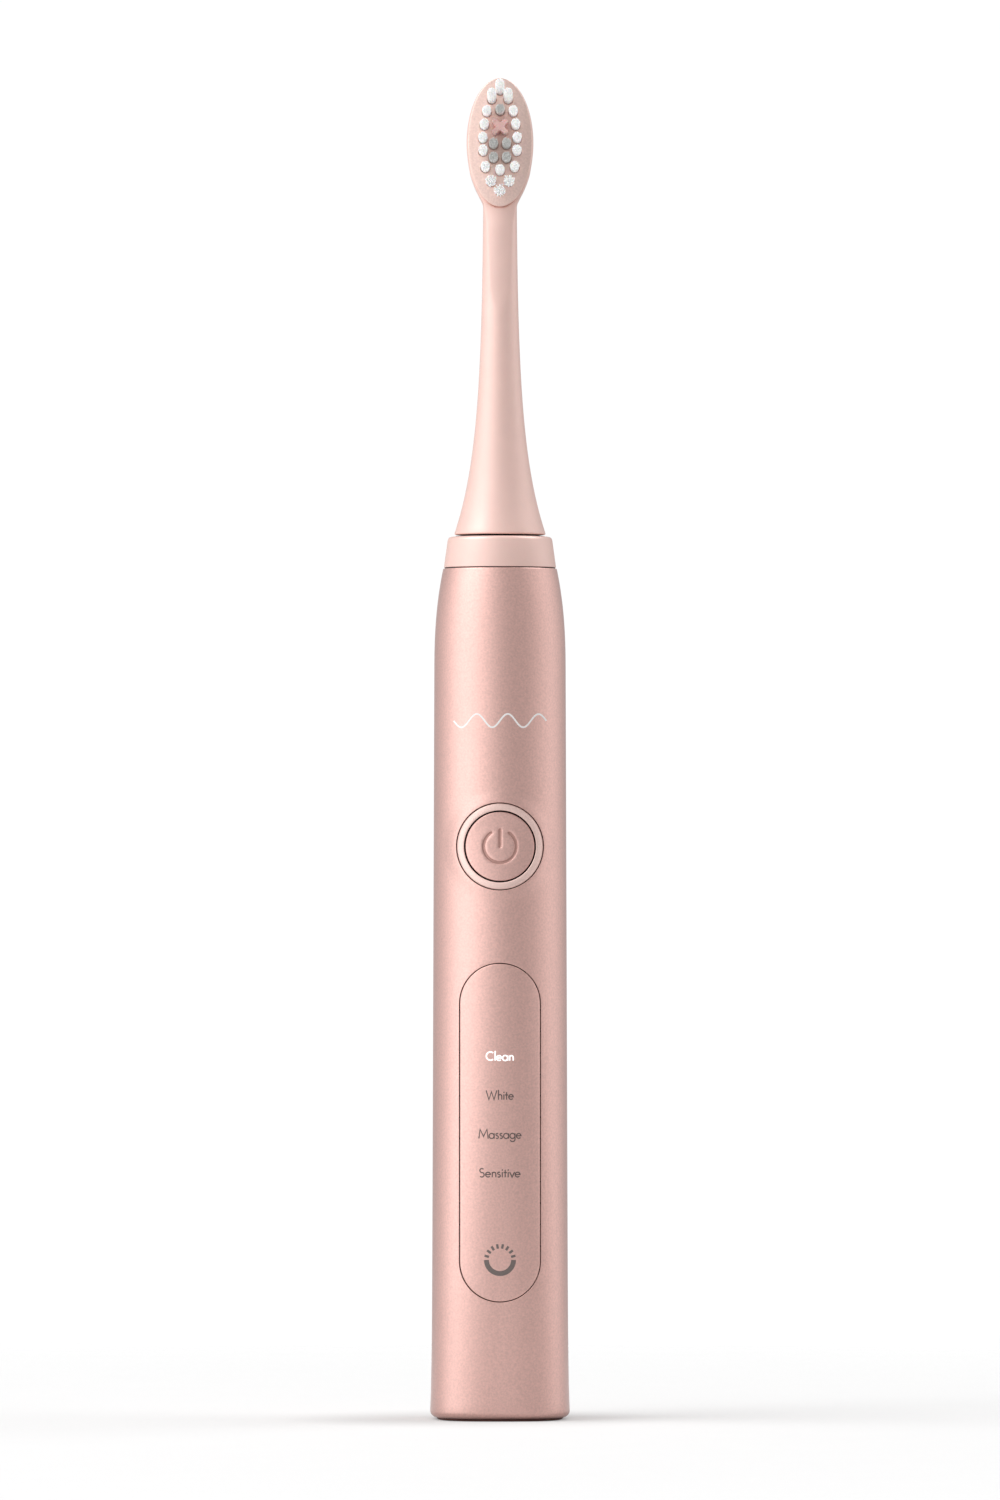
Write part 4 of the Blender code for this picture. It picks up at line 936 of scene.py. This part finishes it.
def make_cross():
    """The soft X in the middle: four arms, on a round peg."""
    corners = []
    for k in range(4):
        a = math.radians(45 + 90 * k)
        way, side = np.array([math.cos(a), math.sin(a)]), np.array([-math.sin(a), math.cos(a)])
        side *= ARM_HALF_WIDTH
        corners += [(*(way * ARM_HALF_WIDTH - side), 0.20), (*(way * ARM_LENGTH - side), 0.42),
                    (*(way * ARM_LENGTH + side), 0.42)]
    # Moved to one side, because softened() takes what starts on the axis as open.
    outline, _ = softened([(x + 50, z, size) for x, z, size in corners], steps=5)
    outline = outline - (50, 0)
    way = np.roll(outline, -1, 0) - np.roll(outline, 1, 0)
    normal = -left_of(way) / np.hypot(*way.T)[:, None]
    shape = Shape()
    rows = []
    for y, inward in CROSS_STATIONS:
        x, z = (outline - normal * inward).T
        rows.append(zipped(x, y + 0 * x, CROSS_HEIGHT + z))
    for a, b in zip(rows, rows[1:]):
        shape.bridge(a, b, 0)
    for row, group in ((rows[0], 1), (rows[-1], 0)):
        flat = row[:, [0, 2]]
        sheet(shape, [(flat, row)], (np.zeros((0, 2)), np.zeros((0, 3))), within(flat), group)
    shape.piece("massage_cross_moulded", BLUSH_RUBBER, "brush_head", "massage_cross", "blush_rubber")
    peg = turned([(0, 1.75), (0.9, 1.75, 0.15), (0.9, 3.27), (0, 3.27)], 32)
    pointed_forward(peg, 0, CROSS_HEIGHT).piece(
        "massage_cross_peg", BLUSH_RUBBER, "brush_head", slot="blush_rubber")


def make_socket():
    turned([(0, 190.4), (1.95, 190.4, 0.1), (1.95, 168.2, 0.2), (6.2, 168.2, 0.2), (6.2, 169.2, 0.2),
            (3.4, 170.6, 0.4), (2.85, 172.0, 0.3), (2.85, 193.6, 0.3), (0, 193.6)], 64).piece(
        "shaft_socket_moulded", INNER_PLASTIC, "brush_head", "shaft_socket", "inner_plastic")


# ---- what the CAD already shows rightly

CAD_FINISHES = (
    (BATTERY_WRAP, "battery_cell"), (BLACK_RUBBER, "base_seal button_seal collar_seal panel_gasket"),
    (BLACK_WIRE, "coil_lead_left motor_lead_left"), (BLUSH_RUBBER, "switch_plunger"),
    (BOARD, "circuit_board"), (BRONZE, "front_bearing rear_bearing"),
    (COPPER, "charging_coil stator_coil_left stator_coil_right"),
    (DARK_PLASTIC, "charging_inductor controller_chip light_baffle tactile_switch"),
    (INNER_PLASTIC, "chassis coil_bobbin motor_cradle seal_retainer"),
    (LED, "gauge_led mode_led_1 mode_led_2 mode_led_3 mode_led_4"),
    (MAGNET, "rotor_magnet_left rotor_magnet_right"), (NICKEL, "battery_tab_bottom battery_tab_top"),
    (RED_WIRE, "coil_lead_right motor_lead_right"), (STATOR_STEEL, "stator_core"),
    (STEEL, "board_screw_1 board_screw_2 front_motor_plate motor_can motor_screw_1 motor_screw_2 "
            "rear_motor_plate retaining_ring retention_clip return_spring"))


def finish_cad():
    for material, names in CAD_FINISHES:
        for name in names.split():
            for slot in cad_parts[name].material_slots:
                slot.material = material


# ---- studio

# (azimuth in degrees, brightness). 0 is the camera's side, and negative is to the left.
LIGHT_ROUND = ((-180, 0.52), (-150, 0.55), (-130, 0.66), (-112, 0.92), (-95, 1.36), (-80, 1.88), (-65, 2.08),
               (-50, 1.94), (-35, 1.62), (-18, 1.14), (0, 0.705), (18, 0.555), (37, 0.545), (57, 0.645),
               (75, 0.94), (92, 1.20), (106, 1.22), (120, 0.93), (135, 0.66), (150, 0.50), (180, 0.52))
LIGHT_UP = ((-1, 1.0), (0, 1.0), (0.5, 1.0), (1, 0.85))  # (sine of the elevation, share)
LIGHT_PEAK = 2.2
FLOOR_GLOW = 0.27
FLOOR_RINGS = (0, 20, 60, 200, 800, 3000, 9000)
FLOOR_DROP = 0.02
CAMERA_DISTANCE, CAMERA_HEIGHT, AIM_HEIGHT = 2.2, 0.105, 0.126  # metres
CAMERA_LENS = 280


def area_light(name, azimuth, elevation, distance, width, height, watts):
    """A softbox that faces the toothbrush."""
    data = bpy.data.lights.new(name, "AREA")
    data.shape, data.size, data.size_y, data.energy = "RECTANGLE", width, height, watts
    obj = placed(name, data)
    a, e = math.radians(azimuth), math.radians(elevation)
    way = Vector((math.sin(a) * math.cos(e), -math.cos(a) * math.cos(e), math.sin(e)))
    obj.location = Vector((0, 0, AIM_HEIGHT)) + way * distance
    obj.rotation_mode = "QUATERNION"
    obj.rotation_quaternion = (-way).to_track_quat("-Z", "Y")
    obj.visible_camera = False


def make_surroundings():
    """White to the camera, and bands of soft light to everything else."""
    world = bpy.data.worlds.new("studio")
    SCENE.world = world
    world.use_nodes = True
    tree = world.node_tree
    tree.nodes.clear()

    def maths(operation, a, b):
        return add_node(tree, "Math", {0: a, 1: b}, operation=operation).outputs[0]

    def ramp(stops, factor):
        node = add_node(tree, "ValToRGB", {"Fac": factor})
        node.color_ramp.interpolation = "CARDINAL"
        elements = node.color_ramp.elements
        while len(elements) < len(stops):
            elements.new(0.5)
        for element, (place, level) in zip(elements, stops):
            element.position, element.color = place, (level, level, level, 1)
        return node.outputs["Color"]

    direction = add_node(tree, "TexCoord").outputs["Generated"]
    parts = add_node(tree, "SeparateXYZ", {0: direction}).outputs
    azimuth = maths("ARCTAN2", parts["X"], maths("MULTIPLY", parts["Y"], -1.0))
    around = maths("ADD", maths("DIVIDE", azimuth, math.tau), 0.5)
    level = ramp([((a + 180) / 360, l / LIGHT_PEAK) for a, l in LIGHT_ROUND], around)
    up = maths("ADD", maths("MULTIPLY", parts["Z"], 0.5), 0.5)
    height = ramp([((h + 1) / 2, l) for h, l in LIGHT_UP], up)
    strength = maths("MULTIPLY", maths("MULTIPLY", level, height), LIGHT_PEAK)
    ambient = add_node(tree, "Background", {"Strength": strength})
    backdrop = add_node(tree, "Background", {"Strength": 1.02, "Color": (1, 1, 1, 1)})
    rays = add_node(tree, "LightPath")
    mix = add_node(tree, "MixShader", {0: rays.outputs["Is Camera Ray"], 1: ambient.outputs[0],
                                       2: backdrop.outputs[0]})
    add_node(tree, "OutputWorld", {"Surface": mix.outputs[0]})


def make_floor():
    """Pale paper with a painted soft contact shadow round the foot, that fades into the backdrop."""
    shape = Shape()
    a = np.linspace(0, math.tau, 97)
    r = np.array(FLOOR_RINGS)[:, None]
    shape.grid(zipped(r * np.cos(a), r * np.sin(a), 0 * r * a - FLOOR_DROP))
    paper = finish("white_studio_paper", (0.62, 0.62, 0.62), 0.9, (60, 0.004), Emission_Color=(1, 1, 1, 1))
    tree = paper.node_tree
    shader = tree.nodes["Principled BSDF"]
    plain = shader.inputs["Base Color"].links[0].from_socket
    place = add_node(tree, "TexCoord").outputs["Object"]

    def stepped(operation, inputs, start, end, low, high):
        """From low to high as a distance goes from start to end, in metres."""
        distance = add_node(tree, "VectorMath", inputs, operation=operation).outputs["Value"]
        return add_node(tree, "MapRange", {"Value": distance, "From Min": start, "From Max": end,
                                           "To Min": low, "To Max": high},
                        interpolation_type="SMOOTHSTEP").outputs["Result"]

    # A painted contact shadow: the paper's colour darkens near the foot, by distance from a point beside the
    # axis.
    painted_contact_shadow = stepped("DISTANCE", {0: place, 1: (-0.005, 0, 0)}, 0.011, 0.042, 0.74, 1.0)
    paper_with_painted_shadow = add_node(tree, "VectorMath", {0: plain, "Scale": painted_contact_shadow}, operation="SCALE")
    tree.links.new(paper_with_painted_shadow.outputs[0], shader.inputs["Base Color"])
    seen = add_node(tree, "LightPath").outputs["Is Camera Ray"]
    glow = add_node(tree, "Math", {0: seen, 1: FLOOR_GLOW}, operation="MULTIPLY")
    tree.links.new(glow.outputs[0], shader.inputs["Emission Strength"])
    clear = add_node(tree, "BsdfTransparent")
    fade = add_node(tree, "MixShader", {0: stepped("LENGTH", {0: place}, 0.12, 0.45, 0.0, 1.0),
                                        1: shader.outputs[0], 2: clear.outputs[0]})
    tree.links.new(fade.outputs[0], tree.nodes["Material Output"].inputs["Surface"])
    placed("studio_floor", shape.mesh("studio_floor", paper))


def make_camera():
    camera = placed("camera", bpy.data.cameras.new("camera"))
    SCENE.camera = camera
    camera.data.lens, camera.data.sensor_width = CAMERA_LENS, 36.0
    camera.location = (0, -CAMERA_DISTANCE, CAMERA_HEIGHT)
    camera.rotation_euler = (math.radians(90) + math.atan2(AIM_HEIGHT - CAMERA_HEIGHT, CAMERA_DISTANCE), 0, 0)
    camera.data.clip_start, camera.data.clip_end = 0.1, 30


# ---- making it all

make_handle_shell()
make_display_panel()
make_button()
make_marks()
make_base_cap()
make_collar()
make_drive()
make_neck()
make_face_plate()
make_tufts("outer_tufts_filaments", OUTER_TUFTS, -12.4, WHITE_NYLON_PAINTED_GLOW, "outer_tufts", "white_nylon", 7)
make_tufts("inner_tufts_filaments", INNER_TUFTS, -11.6, GREY_NYLON_PAINTED_GLOW, "inner_tufts", "grey_nylon", 11)
make_cross()
make_socket()
finish_cad()
SCENE.view_settings.view_transform = "Standard"
make_surroundings()
area_light("key_softbox", -76, 52, 1.2, 0.9, 0.7, 6.0)
area_light("fill_softbox", 104, 54, 1.2, 0.8, 0.6, 4.0)
make_floor()
make_camera()
